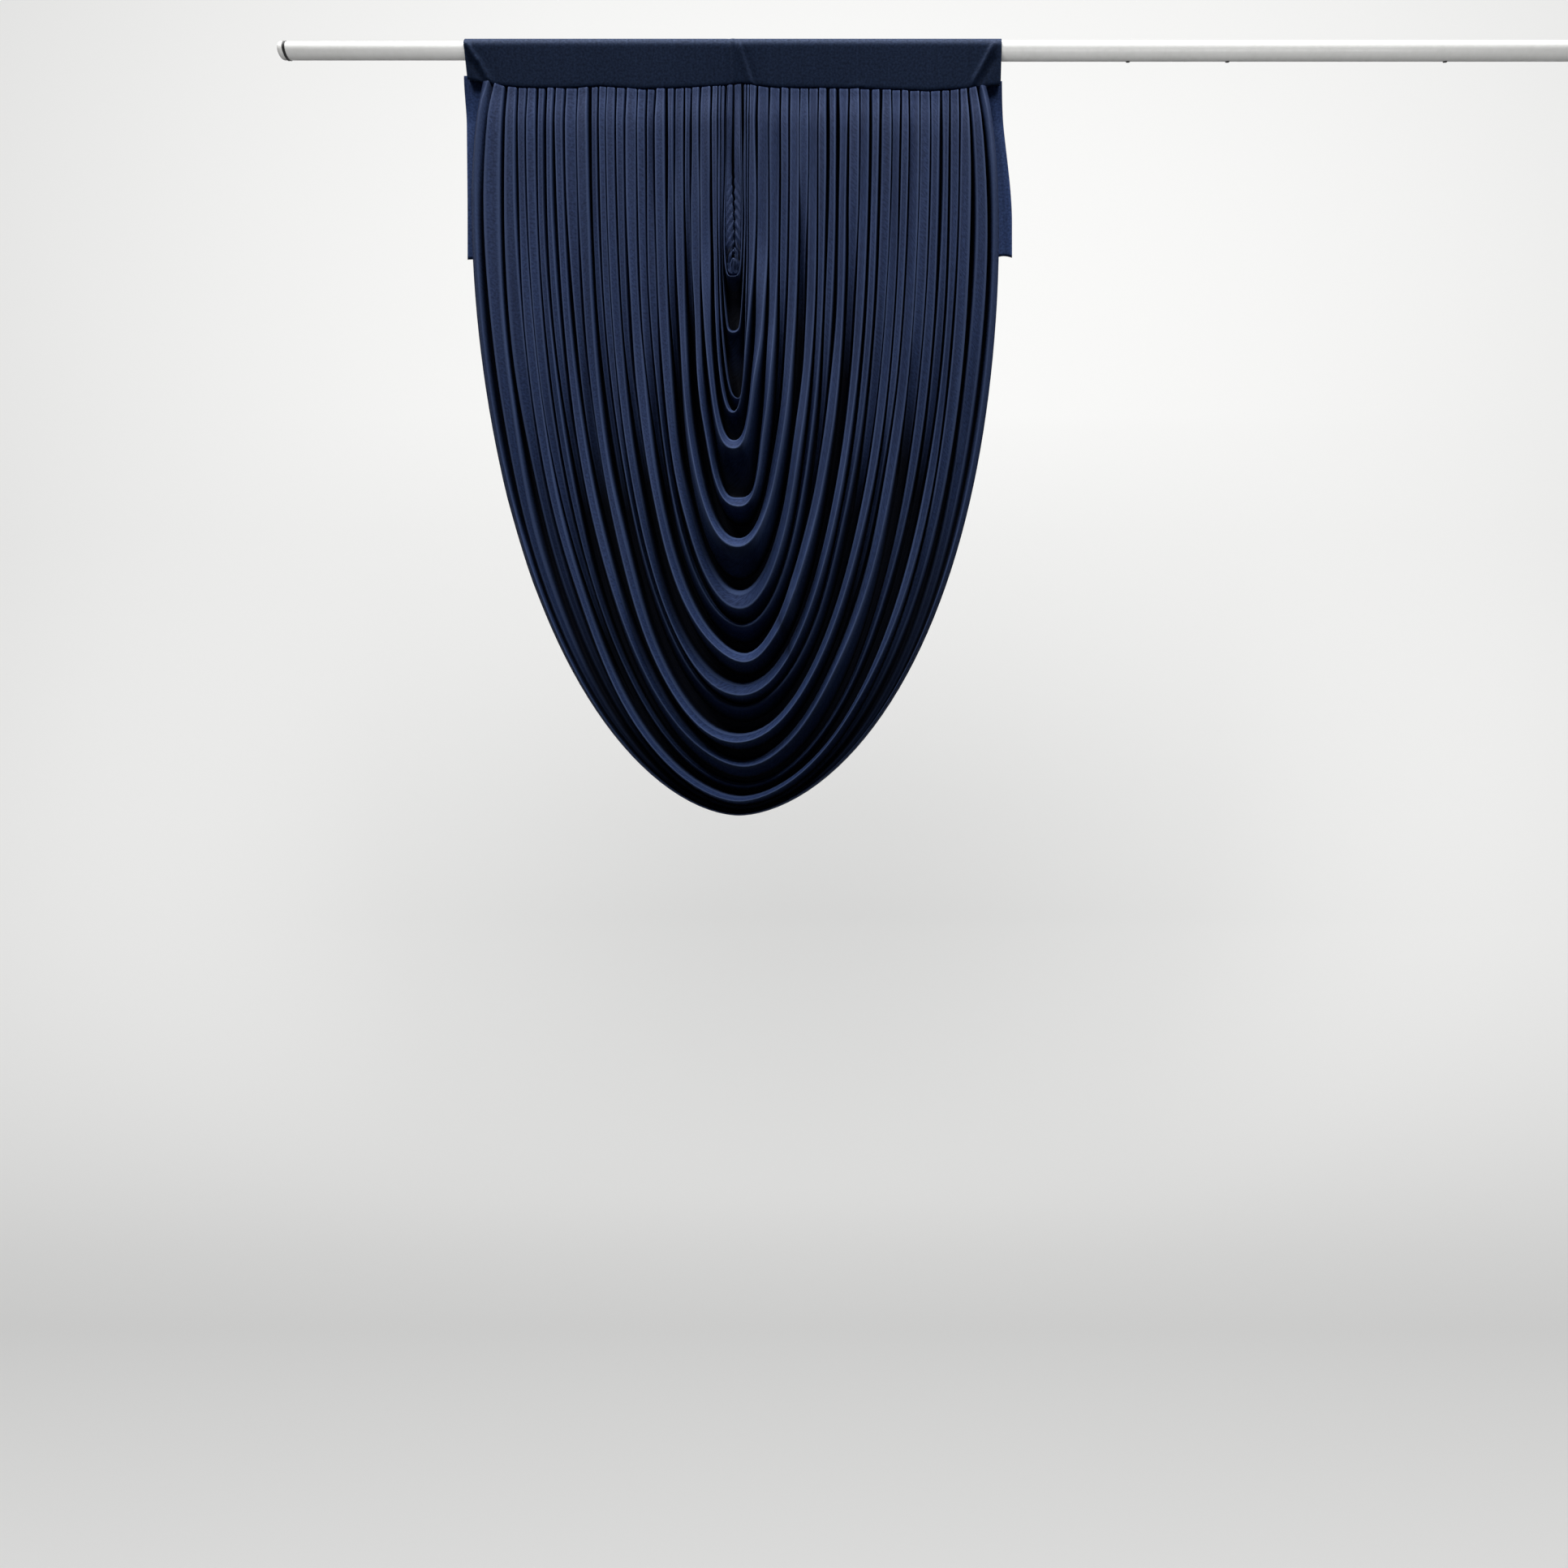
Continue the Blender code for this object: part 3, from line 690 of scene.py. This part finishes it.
def build_tail(node, tail):
    """A flap from behind the pocket's seam down behind the swag's side."""
    grid, flat = [], []
    for fall in np.linspace(0, 1, TAIL_STEPS):
        swing = (tail.edge_end - tail.edge_top) * smoothstep(0, TAIL_SWUNG, fall)
        outer = (tail.edge_top + swing) * MM
        behind = TAIL_Y_TOP + (TAIL_Y - TAIL_Y_TOP) * smoothstep(0, TAIL_BEHIND, fall)
        wave = TAIL_WAVE * smoothstep(WAVES_START, WAVES_WHOLE, fall)
        line, places = [], []
        for inward in np.linspace(0, 1, TAIL_STEPS):
            x = tail.side * (outer - inward * TAIL_WIDTH)
            top = float(seam_drop(x)) - TAIL_TUCK
            notch = tail.notch * MM * sin(2 * pi * NOTCH_WAVES * inward)
            bottom = tail.drop * MM - notch
            z = -(top + (bottom - top) * fall)
            y = behind + wave * sin(2 * pi * TAIL_WAVES * inward)
            line.append((x, float(y), z, 0, 0))
            places.append((inward * TAIL_WIDTH, -z))
        grid.append(line)
        flat.append(places)
    return cloth_sheet(node + "_flap", np.array(grid), np.array(flat))


# ---- the rail ------------------------------------------------------------------------
TUBE_WALL, TUBE_EDGE = 1.2 * MM, 0.35 * MM
# How a cap domes: each step's part of its length, and its width there.
DomeStep = namedtuple("DomeStep", "length width")
DOME = [
    DomeStep(0.35, 0.99),
    DomeStep(0.25, 0.94),
    DomeStep(0.2, 0.84),
    DomeStep(0.2, 0.62),
]
TUBE_OPEN = 4 * TUBE_WALL  # how deep the tubes' ends are open
CAP_FLANGE, CAP_EDGE = 0.3, 0.5 * MM  # the flange is this part of a cap's length
COLLAR_LIP, COLLAR_GROOVE, COLLAR_EDGE = 1.3 * MM, 0.5 * MM, 0.3 * MM
BUTTON_RADIUS, BUTTON_HEIGHT, BUTTON_EDGE = 4.5 * MM, 3.2 * MM, 0.5 * MM
BUTTON_SUNK = 0.3 * BUTTON_HEIGHT
BUTTON_TIP, BUTTON_TAPER = 0.3 * BUTTON_HEIGHT, 0.7
BUTTONS = [831 * MM, 1041 * MM, 1501 * MM]  # along the rail
BUTTON_TURN = radians(30)  # from straight down towards the back
RAIL_SIDES, BUTTON_SIDES = 64, 24
FACING = 0.9  # a face whose normal reaches this far points along the axis
ROUND_SIDE = 0.1  # and one whose normal stays below this is on the round side
SHARP, SMOOTH = radians(35), radians(40)


def rod(name, start, end, radius):
    """A solid rod along the rail, to be worked on."""
    bpy.ops.object.select_all(action="DESELECT")
    bpy.ops.mesh.primitive_cylinder_add(
        vertices=RAIL_SIDES, radius=radius, depth=end - start,
        location=((start + end) / 2, 0, 0), rotation=(0, pi / 2, 0))
    piece = bpy.context.object
    piece.name = piece.data.name = name
    bpy.ops.object.transform_apply(location=True, rotation=True, scale=True)
    return piece


def pick_faces(piece, wanted):
    """Opens the piece in edit mode with only the wanted faces selected."""
    if piece.mode == "EDIT":
        bpy.ops.object.mode_set(mode="OBJECT")
    activate(piece)
    bpy.ops.object.mode_set(mode="EDIT")
    bpy.ops.mesh.select_mode(type="FACE")
    bpy.ops.mesh.select_all(action="DESELECT")
    bpy.ops.object.mode_set(mode="OBJECT")
    for face in piece.data.polygons:
        face.select = wanted(face)
    bpy.ops.object.mode_set(mode="EDIT")


def pull_out(x=0, z=0):
    """Extrudes the picked faces along the rail or upwards."""
    bpy.ops.mesh.extrude_region_move(TRANSFORM_OT_translate={"value": (x, 0, z)})


def finish_hard_piece(piece, edge, steps=3):
    """Rounds the sharp edges and smooths the round faces."""
    bpy.ops.object.mode_set(mode="OBJECT")
    activate(piece)
    bevel = piece.modifiers.new("edges", "BEVEL")
    bevel.width, bevel.segments = edge, steps
    bevel.limit_method, bevel.angle_limit = "ANGLE", SHARP
    apply_modifiers(piece)
    turn_outwards(piece)
    activate(piece)
    bpy.ops.object.shade_smooth_by_angle(angle=SMOOTH)


def build_tube(name, node):
    low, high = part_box(node)
    tube = rod(name, low[0], high[0], high[2])
    for outward in (-1, 1):
        pick_faces(tube, lambda face: face.normal.x * outward > FACING)
        bpy.ops.mesh.inset(thickness=TUBE_WALL)
        pull_out(x=-outward * TUBE_OPEN)
    finish_hard_piece(tube, TUBE_EDGE, 2)
    return tube


def build_cap(name, node, outward):
    low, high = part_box(node)
    length = high[0] - low[0]
    inner = high[0] if outward < 0 else low[0]
    outer = inner + outward * CAP_FLANGE * length
    cap = rod(name, min(inner, outer), max(inner, outer), high[2])
    pick_faces(cap, lambda face: face.normal.x * outward > FACING)
    width = 1
    for step in DOME:
        pull_out(x=outward * step.length * (1 - CAP_FLANGE) * length)
        bpy.ops.transform.resize(value=(1, step.width / width, step.width / width))
        width = step.width
    finish_hard_piece(cap, CAP_EDGE)
    return cap


def build_collar(name, node):
    low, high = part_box(node)
    collar = rod(name, low[0], high[0], high[2])
    pick_faces(collar, lambda face: abs(face.normal.x) < ROUND_SIDE)
    bpy.ops.mesh.inset(thickness=COLLAR_LIP, depth=-COLLAR_GROOVE)
    finish_hard_piece(collar, COLLAR_EDGE, 2)
    return collar


def build_buttons(node):
    """Small black stops under the back of the outer tube: one, and copies of it."""
    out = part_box(node)[1][2] - BUTTON_SUNK
    bpy.ops.object.select_all(action="DESELECT")
    bpy.ops.mesh.primitive_cylinder_add(
        vertices=BUTTON_SIDES, radius=BUTTON_RADIUS, depth=BUTTON_HEIGHT)
    button = bpy.context.object
    pick_faces(button, lambda face: face.normal.z < -FACING)
    pull_out(z=-BUTTON_TIP)
    bpy.ops.transform.resize(value=(BUTTON_TAPER, BUTTON_TAPER, 1))
    finish_hard_piece(button, BUTTON_EDGE)
    button.location = (BUTTONS[0], out * sin(BUTTON_TURN), -out * cos(BUTTON_TURN))
    button.rotation_euler = (BUTTON_TURN, 0, 0)
    bpy.ops.object.transform_apply(location=True, rotation=True, scale=True)
    buttons = [button]
    for along in BUTTONS[1:]:
        copy = button.copy()
        copy.data = button.data.copy()
        bpy.context.collection.objects.link(copy)
        copy.location.x = along - BUTTONS[0]
        activate(copy)
        bpy.ops.object.transform_apply(location=True, rotation=False, scale=False)
        buttons.append(copy)
    for count, made in enumerate(buttons, 1):
        made.name = made.data.name = f"rail_button_{count}"
    return buttons


# ---- materials -----------------------------------------------------------------------
# Colours are linear red, green and blue. A knit has its own tone, the tone of its paler
# streaks, the painted sheen of its creases and fold edges, and how deep its loops are.
Knit = namedtuple("Knit", "name colour pale pressed depth")
# Painted sheen: a paler blue put on fold edges and crease ridges for the light they catch.
SHEEN_PAINTED_COLOUR = (0.040, 0.063, 0.140)
NAVY = Knit("navy_stretch_knit",
            (0.0125, 0.0245, 0.074), (0.0205, 0.040, 0.115), SHEEN_PAINTED_COLOUR, 0.5 * MM)
TIGHT_NAVY = Knit("navy_knit_pulled_tight",
                  (0.0125, 0.0265, 0.069), (0.0165, 0.034, 0.086), SHEEN_PAINTED_COLOUR, 0.35 * MM)
# Painted light: the tails' navy is the same knit made about two and a half times lighter,
# standing in for light that the pocket and swag shade off them.
TAIL_NAVY_PAINTED_LIGHTER = Knit("navy_knit_painted_lighter_for_tails",
                 (0.031, 0.061, 0.180), (0.048, 0.094, 0.265), SHEEN_PAINTED_COLOUR, 0.5 * MM)
# A hard finish has its colour, the colour of its handling marks, its roughness, and the
# scale of the marks.
Finish = namedtuple("Finish", "name colour worn roughness scale")
ENAMEL = Finish("white_rail_enamel", (0.80, 0.80, 0.785), (0.72, 0.72, 0.70), 0.30, 90)
PLASTIC = Finish("white_cap_plastic", (0.74, 0.74, 0.72), (0.66, 0.66, 0.64), 0.42, 160)
RUBBER = Finish(
    "black_stop_rubber", (0.006, 0.006, 0.0065), (0.014, 0.014, 0.0145), 0.6, 260)
# Across and down the flat cloth, for each metre.
WALES, COURSES, FUZZ = 420.0, 330.0, 210.0
STREAKS_ACROSS, STREAKS_DOWN = 110.0, 3.5
WALE_HEIGHT, COURSE_HEIGHT = 0.3, 0.2  # beside the fuzz's 1
FUZZ_DARK, FUZZ_MOST = 0.4, 0.75  # how dark the fuzz makes the cloth, and how much of it
# Painted shade far back in the folds: the part of the colour left, how far it is mixed in,
# and where it starts and is whole.
PAINTED_SHADE_DARK, PAINTED_SHADE_MOST = 0.04, 0.94
PAINTED_SHADE_FROM, PAINTED_SHADE_WHOLE = 0.1, 0.75
MARKS_BROAD = 9.0
MARKS_FROM, MARKS_WHOLE = 0.15, 0.5
MARKS_ROUGHER = 0.15


def link(tree, start, end):
    tree.links.new(start, end)


def sum_node(tree, operation, first, second=0.5):
    """A Math node on two sockets or numbers, and its result."""
    node = tree.nodes.new("ShaderNodeMath")
    node.operation = operation
    for socket, value in zip(node.inputs, (first, second)):
        if isinstance(value, (int, float)):
            socket.default_value = value
        else:
            link(tree, value, socket)
    return node.outputs[0]


def new_group(name, inputs, outputs):
    """An empty shader group with named number sockets, and its inner ends."""
    group = bpy.data.node_groups.new(name, "ShaderNodeTree")
    for socket, value in inputs.items():
        made = group.interface.new_socket(
            name=socket, in_out="INPUT", socket_type="NodeSocketFloat")
        made.default_value = value
    for socket in outputs:
        group.interface.new_socket(
            name=socket, in_out="OUTPUT", socket_type="NodeSocketFloat")
    return group, group.nodes.new("NodeGroupInput"), group.nodes.new("NodeGroupOutput")


def noise_node(tree, place, scale, detail):
    node = tree.nodes.new("ShaderNodeTexNoise")
    link(tree, place, node.inputs["Vector"])
    if isinstance(scale, (int, float)):
        node.inputs["Scale"].default_value = scale
    else:
        link(tree, scale, node.inputs["Scale"])
    node.inputs["Detail"].default_value = detail
    return node.outputs["Fac"]


def knit_group():
    """Fine wales and courses, fuzz, and streaks along the folds, on the flat cloth."""
    group, start, end = new_group(
        "stretch_knit", {"Wales": WALES, "Courses": COURSES, "Fuzz": FUZZ},
        ["Height", "Grain", "Streak"])

    def times(first, second):
        return sum_node(group, "MULTIPLY", first, second)

    cloth = group.nodes.new("ShaderNodeUVMap")
    cloth.uv_map = "flat_cloth"
    apart = group.nodes.new("ShaderNodeSeparateXYZ")
    link(group, cloth.outputs[0], apart.inputs[0])
    across, down = apart.outputs["X"], apart.outputs["Y"]
    wale_turn = times(times(across, start.outputs["Wales"]), 2 * pi)
    course_turn = times(times(down, start.outputs["Courses"]), 2 * pi)
    wales = sum_node(group, "SINE", wale_turn)
    courses = sum_node(group, "SINE", sum_node(group, "ADD", course_turn, wale_turn))
    fuzz = noise_node(group, cloth.outputs[0], start.outputs["Fuzz"], 3)
    loops = sum_node(group, "ADD", times(wales, WALE_HEIGHT), times(courses, COURSE_HEIGHT))
    link(group, sum_node(group, "ADD", loops, fuzz), end.inputs["Height"])
    link(group, fuzz, end.inputs["Grain"])
    stretched = group.nodes.new("ShaderNodeCombineXYZ")
    link(group, times(across, STREAKS_ACROSS), stretched.inputs["X"])
    link(group, times(down, STREAKS_DOWN), stretched.inputs["Y"])
    link(group, noise_node(group, stretched.outputs[0], 1.0, 4), end.inputs["Streak"])
    return group


def wear_group():
    """Faint handling marks on the rail's hard finishes, in object space."""
    group, start, end = new_group("handling_marks", {"Scale": 90.0}, ["Marks", "Height"])
    places = group.nodes.new("ShaderNodeTexCoord")
    broad = noise_node(group, places.outputs["Object"], MARKS_BROAD, 2)
    fine = noise_node(group, places.outputs["Object"], start.outputs["Scale"], 5)
    link(group, sum_node(group, "MULTIPLY", broad, fine), end.inputs["Marks"])
    link(group, fine, end.inputs["Height"])
    return group


def place_group(tree, group, **values):
    node = tree.nodes.new("ShaderNodeGroup")
    node.node_tree = group
    for socket, value in values.items():
        node.inputs[socket].default_value = value
    return node


def mix_colours(tree, factor, first, second):
    """A Mix node between two colours or sockets, and its result."""
    node = tree.nodes.new("ShaderNodeMix")
    node.data_type = "RGBA"
    link(tree, factor, node.inputs["Factor"])
    for socket, value in ((node.inputs["A"], first), (node.inputs["B"], second)):
        if isinstance(value, tuple):
            socket.default_value = (*value, 1)
        else:
            link(tree, value, socket)
    return node.outputs["Result"]


def spread(tree, value, low, high, start=0.3, end=0.7):
    """The value, usually between start and end, spread between low and high."""
    node = tree.nodes.new("ShaderNodeMapRange")
    link(tree, value, node.inputs["Value"])
    sockets = ("From Min", "From Max", "To Min", "To Max")
    for socket, number in zip(sockets, (start, end, low, high)):
        node.inputs[socket].default_value = number
    return node.outputs["Result"]


def add_bump(tree, shader, height, strength, distance):
    bump = tree.nodes.new("ShaderNodeBump")
    bump.inputs["Strength"].default_value = strength
    bump.inputs["Distance"].default_value = distance
    link(tree, height, bump.inputs["Height"])
    link(tree, bump.outputs["Normal"], shader.inputs["Normal"])


def new_material(name, colour, roughness):
    made = bpy.data.materials.new(name)
    made.use_nodes = True
    shader = made.node_tree.nodes["Principled BSDF"]
    shader.inputs["Base Color"].default_value = (*colour, 1)
    shader.inputs["Roughness"].default_value = roughness
    made.diffuse_color = (*colour, 1)
    return made, shader


def mark(tree, attribute):
    """The value of one of the sheet's marks."""
    node = tree.nodes.new("ShaderNodeAttribute")
    node.attribute_name = attribute
    return node.outputs["Fac"]


def darker(colour, part):
    return tuple(part * value for value in colour)


def knit_material(knit, group):
    """Matte stretch knit: streaked, with painted sheen on its creases and painted shade far
    back in its folds.
    """
    made, shader = new_material(knit.name, knit.colour, 0.7)
    shader.inputs["Specular IOR Level"].default_value = 0.08
    tree = made.node_tree
    pattern = place_group(tree, group)
    streak = spread(tree, pattern.outputs["Streak"], 0.0, 1.0)
    tone = mix_colours(tree, streak, knit.colour, knit.pale)
    grain = spread(tree, pattern.outputs["Grain"], 0.0, FUZZ_MOST, start=0.35)
    tone = mix_colours(tree, grain, tone, darker(knit.colour, FUZZ_DARK))
    # painted sheen along fold edges and crease ridges
    tone = mix_colours(tree, mark(tree, "pressed"), tone, knit.pressed)
    # painted shade far back in the folds
    painted_shade = spread(tree, mark(tree, "hollow"), 0.0, PAINTED_SHADE_MOST, PAINTED_SHADE_FROM, PAINTED_SHADE_WHOLE)
    tone = mix_colours(tree, painted_shade, tone, darker(knit.colour, PAINTED_SHADE_DARK))
    link(tree, tone, shader.inputs["Base Color"])
    rough = spread(tree, pattern.outputs["Grain"], 0.62, 0.8)
    link(tree, rough, shader.inputs["Roughness"])
    add_bump(tree, shader, pattern.outputs["Height"], 0.3, knit.depth)
    return made


def hard_material(finish, group):
    """A moulded or enamelled finish with faint marks from handling."""
    made, shader = new_material(finish.name, finish.colour, finish.roughness)
    tree = made.node_tree
    pattern = place_group(tree, group, Scale=finish.scale)
    marks = pattern.outputs["Marks"]
    amount = spread(tree, marks, 0.0, 1.0, MARKS_FROM, MARKS_WHOLE)
    tone = mix_colours(tree, amount, finish.colour, finish.worn)
    link(tree, tone, shader.inputs["Base Color"])
    rougher = finish.roughness + MARKS_ROUGHER
    rough = spread(tree, marks, finish.roughness, rougher, MARKS_FROM, MARKS_WHOLE)
    link(tree, rough, shader.inputs["Roughness"])
    add_bump(tree, shader, pattern.outputs["Height"], 0.1, 0.2 * MM)
    return made


# ---- camera, lights and stage --------------------------------------------------------
Light = namedtuple("Light", "name place aim size watts")
MIDDLE = (0, 0, -0.75)  # of the drape
DRAPE_LIGHTS = [
    Light("key_left", (-2.2, -2.2, 4.4), MIDDLE, (2.6, 2.0), 320),
    Light("key_right", (2.5, -2.2, 4.4), MIDDLE, (2.6, 2.0), 285),
    Light("overhead", (0.45, -0.25, 2.4), (0.45, 0, 0), (4.5, 0.5), 160),
    Light("rear", (0.3, 2.2, 1.8), MIDDLE, (3.0, 1.0), 30),
]
RAIL_LIGHT = Light("rail_fill", (0.5, -2.2, -1.2), (0.5, 0, 0), (5.0, 1.0), 60)
SWEEP_LIGHT = Light("sweep_fill", (0.3, -7.5, 2.0), (0.3, 3.6, 0.0), (14.0, 7.0), 1750)
WORLD_COLOUR, WORLD_STRENGTH = (0.95, 0.96, 1, 1), 0.03
SWEEP_COLOUR = (0.86, 0.86, 0.85)
SWEEP_FLOOR, SWEEP_TOP = -3.0, 6.0
SWEEP_FRONT, SWEEP_BACK = -9.0, 3.6
SWEEP_HALF_WIDTH = 12.0
SWEEP_COVE, COVE_STEPS = 3.0, 12


def build_camera():
    data = bpy.data.cameras.new("view")
    data.sensor_width = 36
    data.lens = 22.7
    data.shift_x, data.shift_y = -0.059, 0.0176
    data.clip_end = 60
    camera = bpy.data.objects.new("view", data)
    camera.location = (0.30, -2.08, -1.60)
    camera.rotation_euler = (radians(90), 0, 0)
    bpy.context.collection.objects.link(camera)
    bpy.context.scene.camera = camera


def area_light(light, reaches):
    """A soft light that reaches only the pieces in one collection."""
    data = bpy.data.lights.new(light.name, "AREA")
    data.shape = "RECTANGLE"
    data.size, data.size_y = light.size
    data.energy = light.watts
    lamp = bpy.data.objects.new(light.name, data)
    lamp.location = light.place
    towards = Vector(light.aim) - Vector(light.place)
    lamp.rotation_euler = towards.to_track_quat("-Z", "Y").to_euler()
    lamp.visible_camera = False
    lamp.light_linking.receiver_collection = reaches
    bpy.context.collection.objects.link(lamp)


def build_sweep():
    """The pale floor, curving up into a wall."""
    cove_y, cove_z = SWEEP_BACK - SWEEP_COVE, SWEEP_FLOOR + SWEEP_COVE
    profile = [(SWEEP_FRONT, SWEEP_FLOOR), (cove_y, SWEEP_FLOOR)]
    for step in range(1, COVE_STEPS + 1):
        angle = (step / COVE_STEPS - 1) * pi / 2
        profile.append((cove_y + SWEEP_COVE * cos(angle), cove_z + SWEEP_COVE * sin(angle)))
    profile.append((SWEEP_BACK, SWEEP_TOP))
    points = [(x, y, z) for y, z in profile for x in (-SWEEP_HALF_WIDTH, SWEEP_HALF_WIDTH)]
    faces = [(2 * i, 2 * i + 1, 2 * i + 3, 2 * i + 2) for i in range(len(profile) - 1)]
    mesh = bpy.data.meshes.new("studio_floor")
    mesh.from_pydata(points, [], faces)
    mesh.shade_smooth()
    mesh.materials.append(new_material("pale_studio", SWEEP_COLOUR, 0.9)[0])
    floor = bpy.data.objects.new("studio_floor", mesh)
    bpy.context.collection.objects.link(floor)
    floor.visible_diffuse = False
    return floor


def build_stage(drape, rail):
    """The sweep and the lights, which light the drape and the sweep apart."""
    world = bpy.data.worlds.new("studio")
    bpy.context.scene.world = world
    world.use_nodes = True
    background = world.node_tree.nodes["Background"]
    background.inputs["Color"].default_value = WORLD_COLOUR
    background.inputs["Strength"].default_value = WORLD_STRENGTH
    sweep = bpy.data.collections.new("sweep")
    sweep.objects.link(build_sweep())
    for light in DRAPE_LIGHTS:
        area_light(light, drape)
    area_light(RAIL_LIGHT, rail)
    area_light(SWEEP_LIGHT, sweep)


def finish_piece(piece, material, lit, node=None):
    """Gives a piece its finish, its lights and its place in the frame."""
    for lights in lit:
        lights.objects.link(piece)
    piece.data.materials.clear()
    piece.data.materials.append(material)
    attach(piece, "root")
    if node:
        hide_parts(node)


def main():
    drape, rail = (bpy.data.collections.new(name) for name in ("lit_drape", "lit_rail"))
    build_camera()
    build_stage(drape, rail)
    bpy.context.scene.view_settings.view_transform = "Standard"
    knit, wear = knit_group(), wear_group()
    navy, tight_navy, tail_navy_painted_lighter = (
        knit_material(kind, knit) for kind in (NAVY, TIGHT_NAVY, TAIL_NAVY_PAINTED_LIGHTER))
    enamel, plastic, rubber = (
        hard_material(finish, wear) for finish in (ENAMEL, PLASTIC, RUBBER))
    swag = build_swag()
    finish_piece(swag, navy, [drape], "swag")
    heading = build_heading()
    finish_piece(heading, tight_navy, [drape], "heading")
    for node, tail in TAILS.items():
        flap = build_tail(node, tail)
        finish_piece(flap, tail_navy_painted_lighter, [drape], node)
    for name, node in (("rail_inner_tube", "rail_thin"), ("rail_outer_tube", "rail_thick")):
        finish_piece(build_tube(name, node), enamel, [drape, rail], node)
    for name, node, outward in (("rail_cap_left", "cap_left", -1),
                                ("rail_cap_right", "cap_right", 1)):
        cap = build_cap(name, node, outward)
        finish_piece(cap, plastic, [drape, rail], node)
    collar = build_collar("rail_ring", "rail_collar")
    finish_piece(collar, rubber, [drape], "rail_collar")
    for button in build_buttons("rail_thick"):
        finish_piece(button, rubber, [drape])


main()
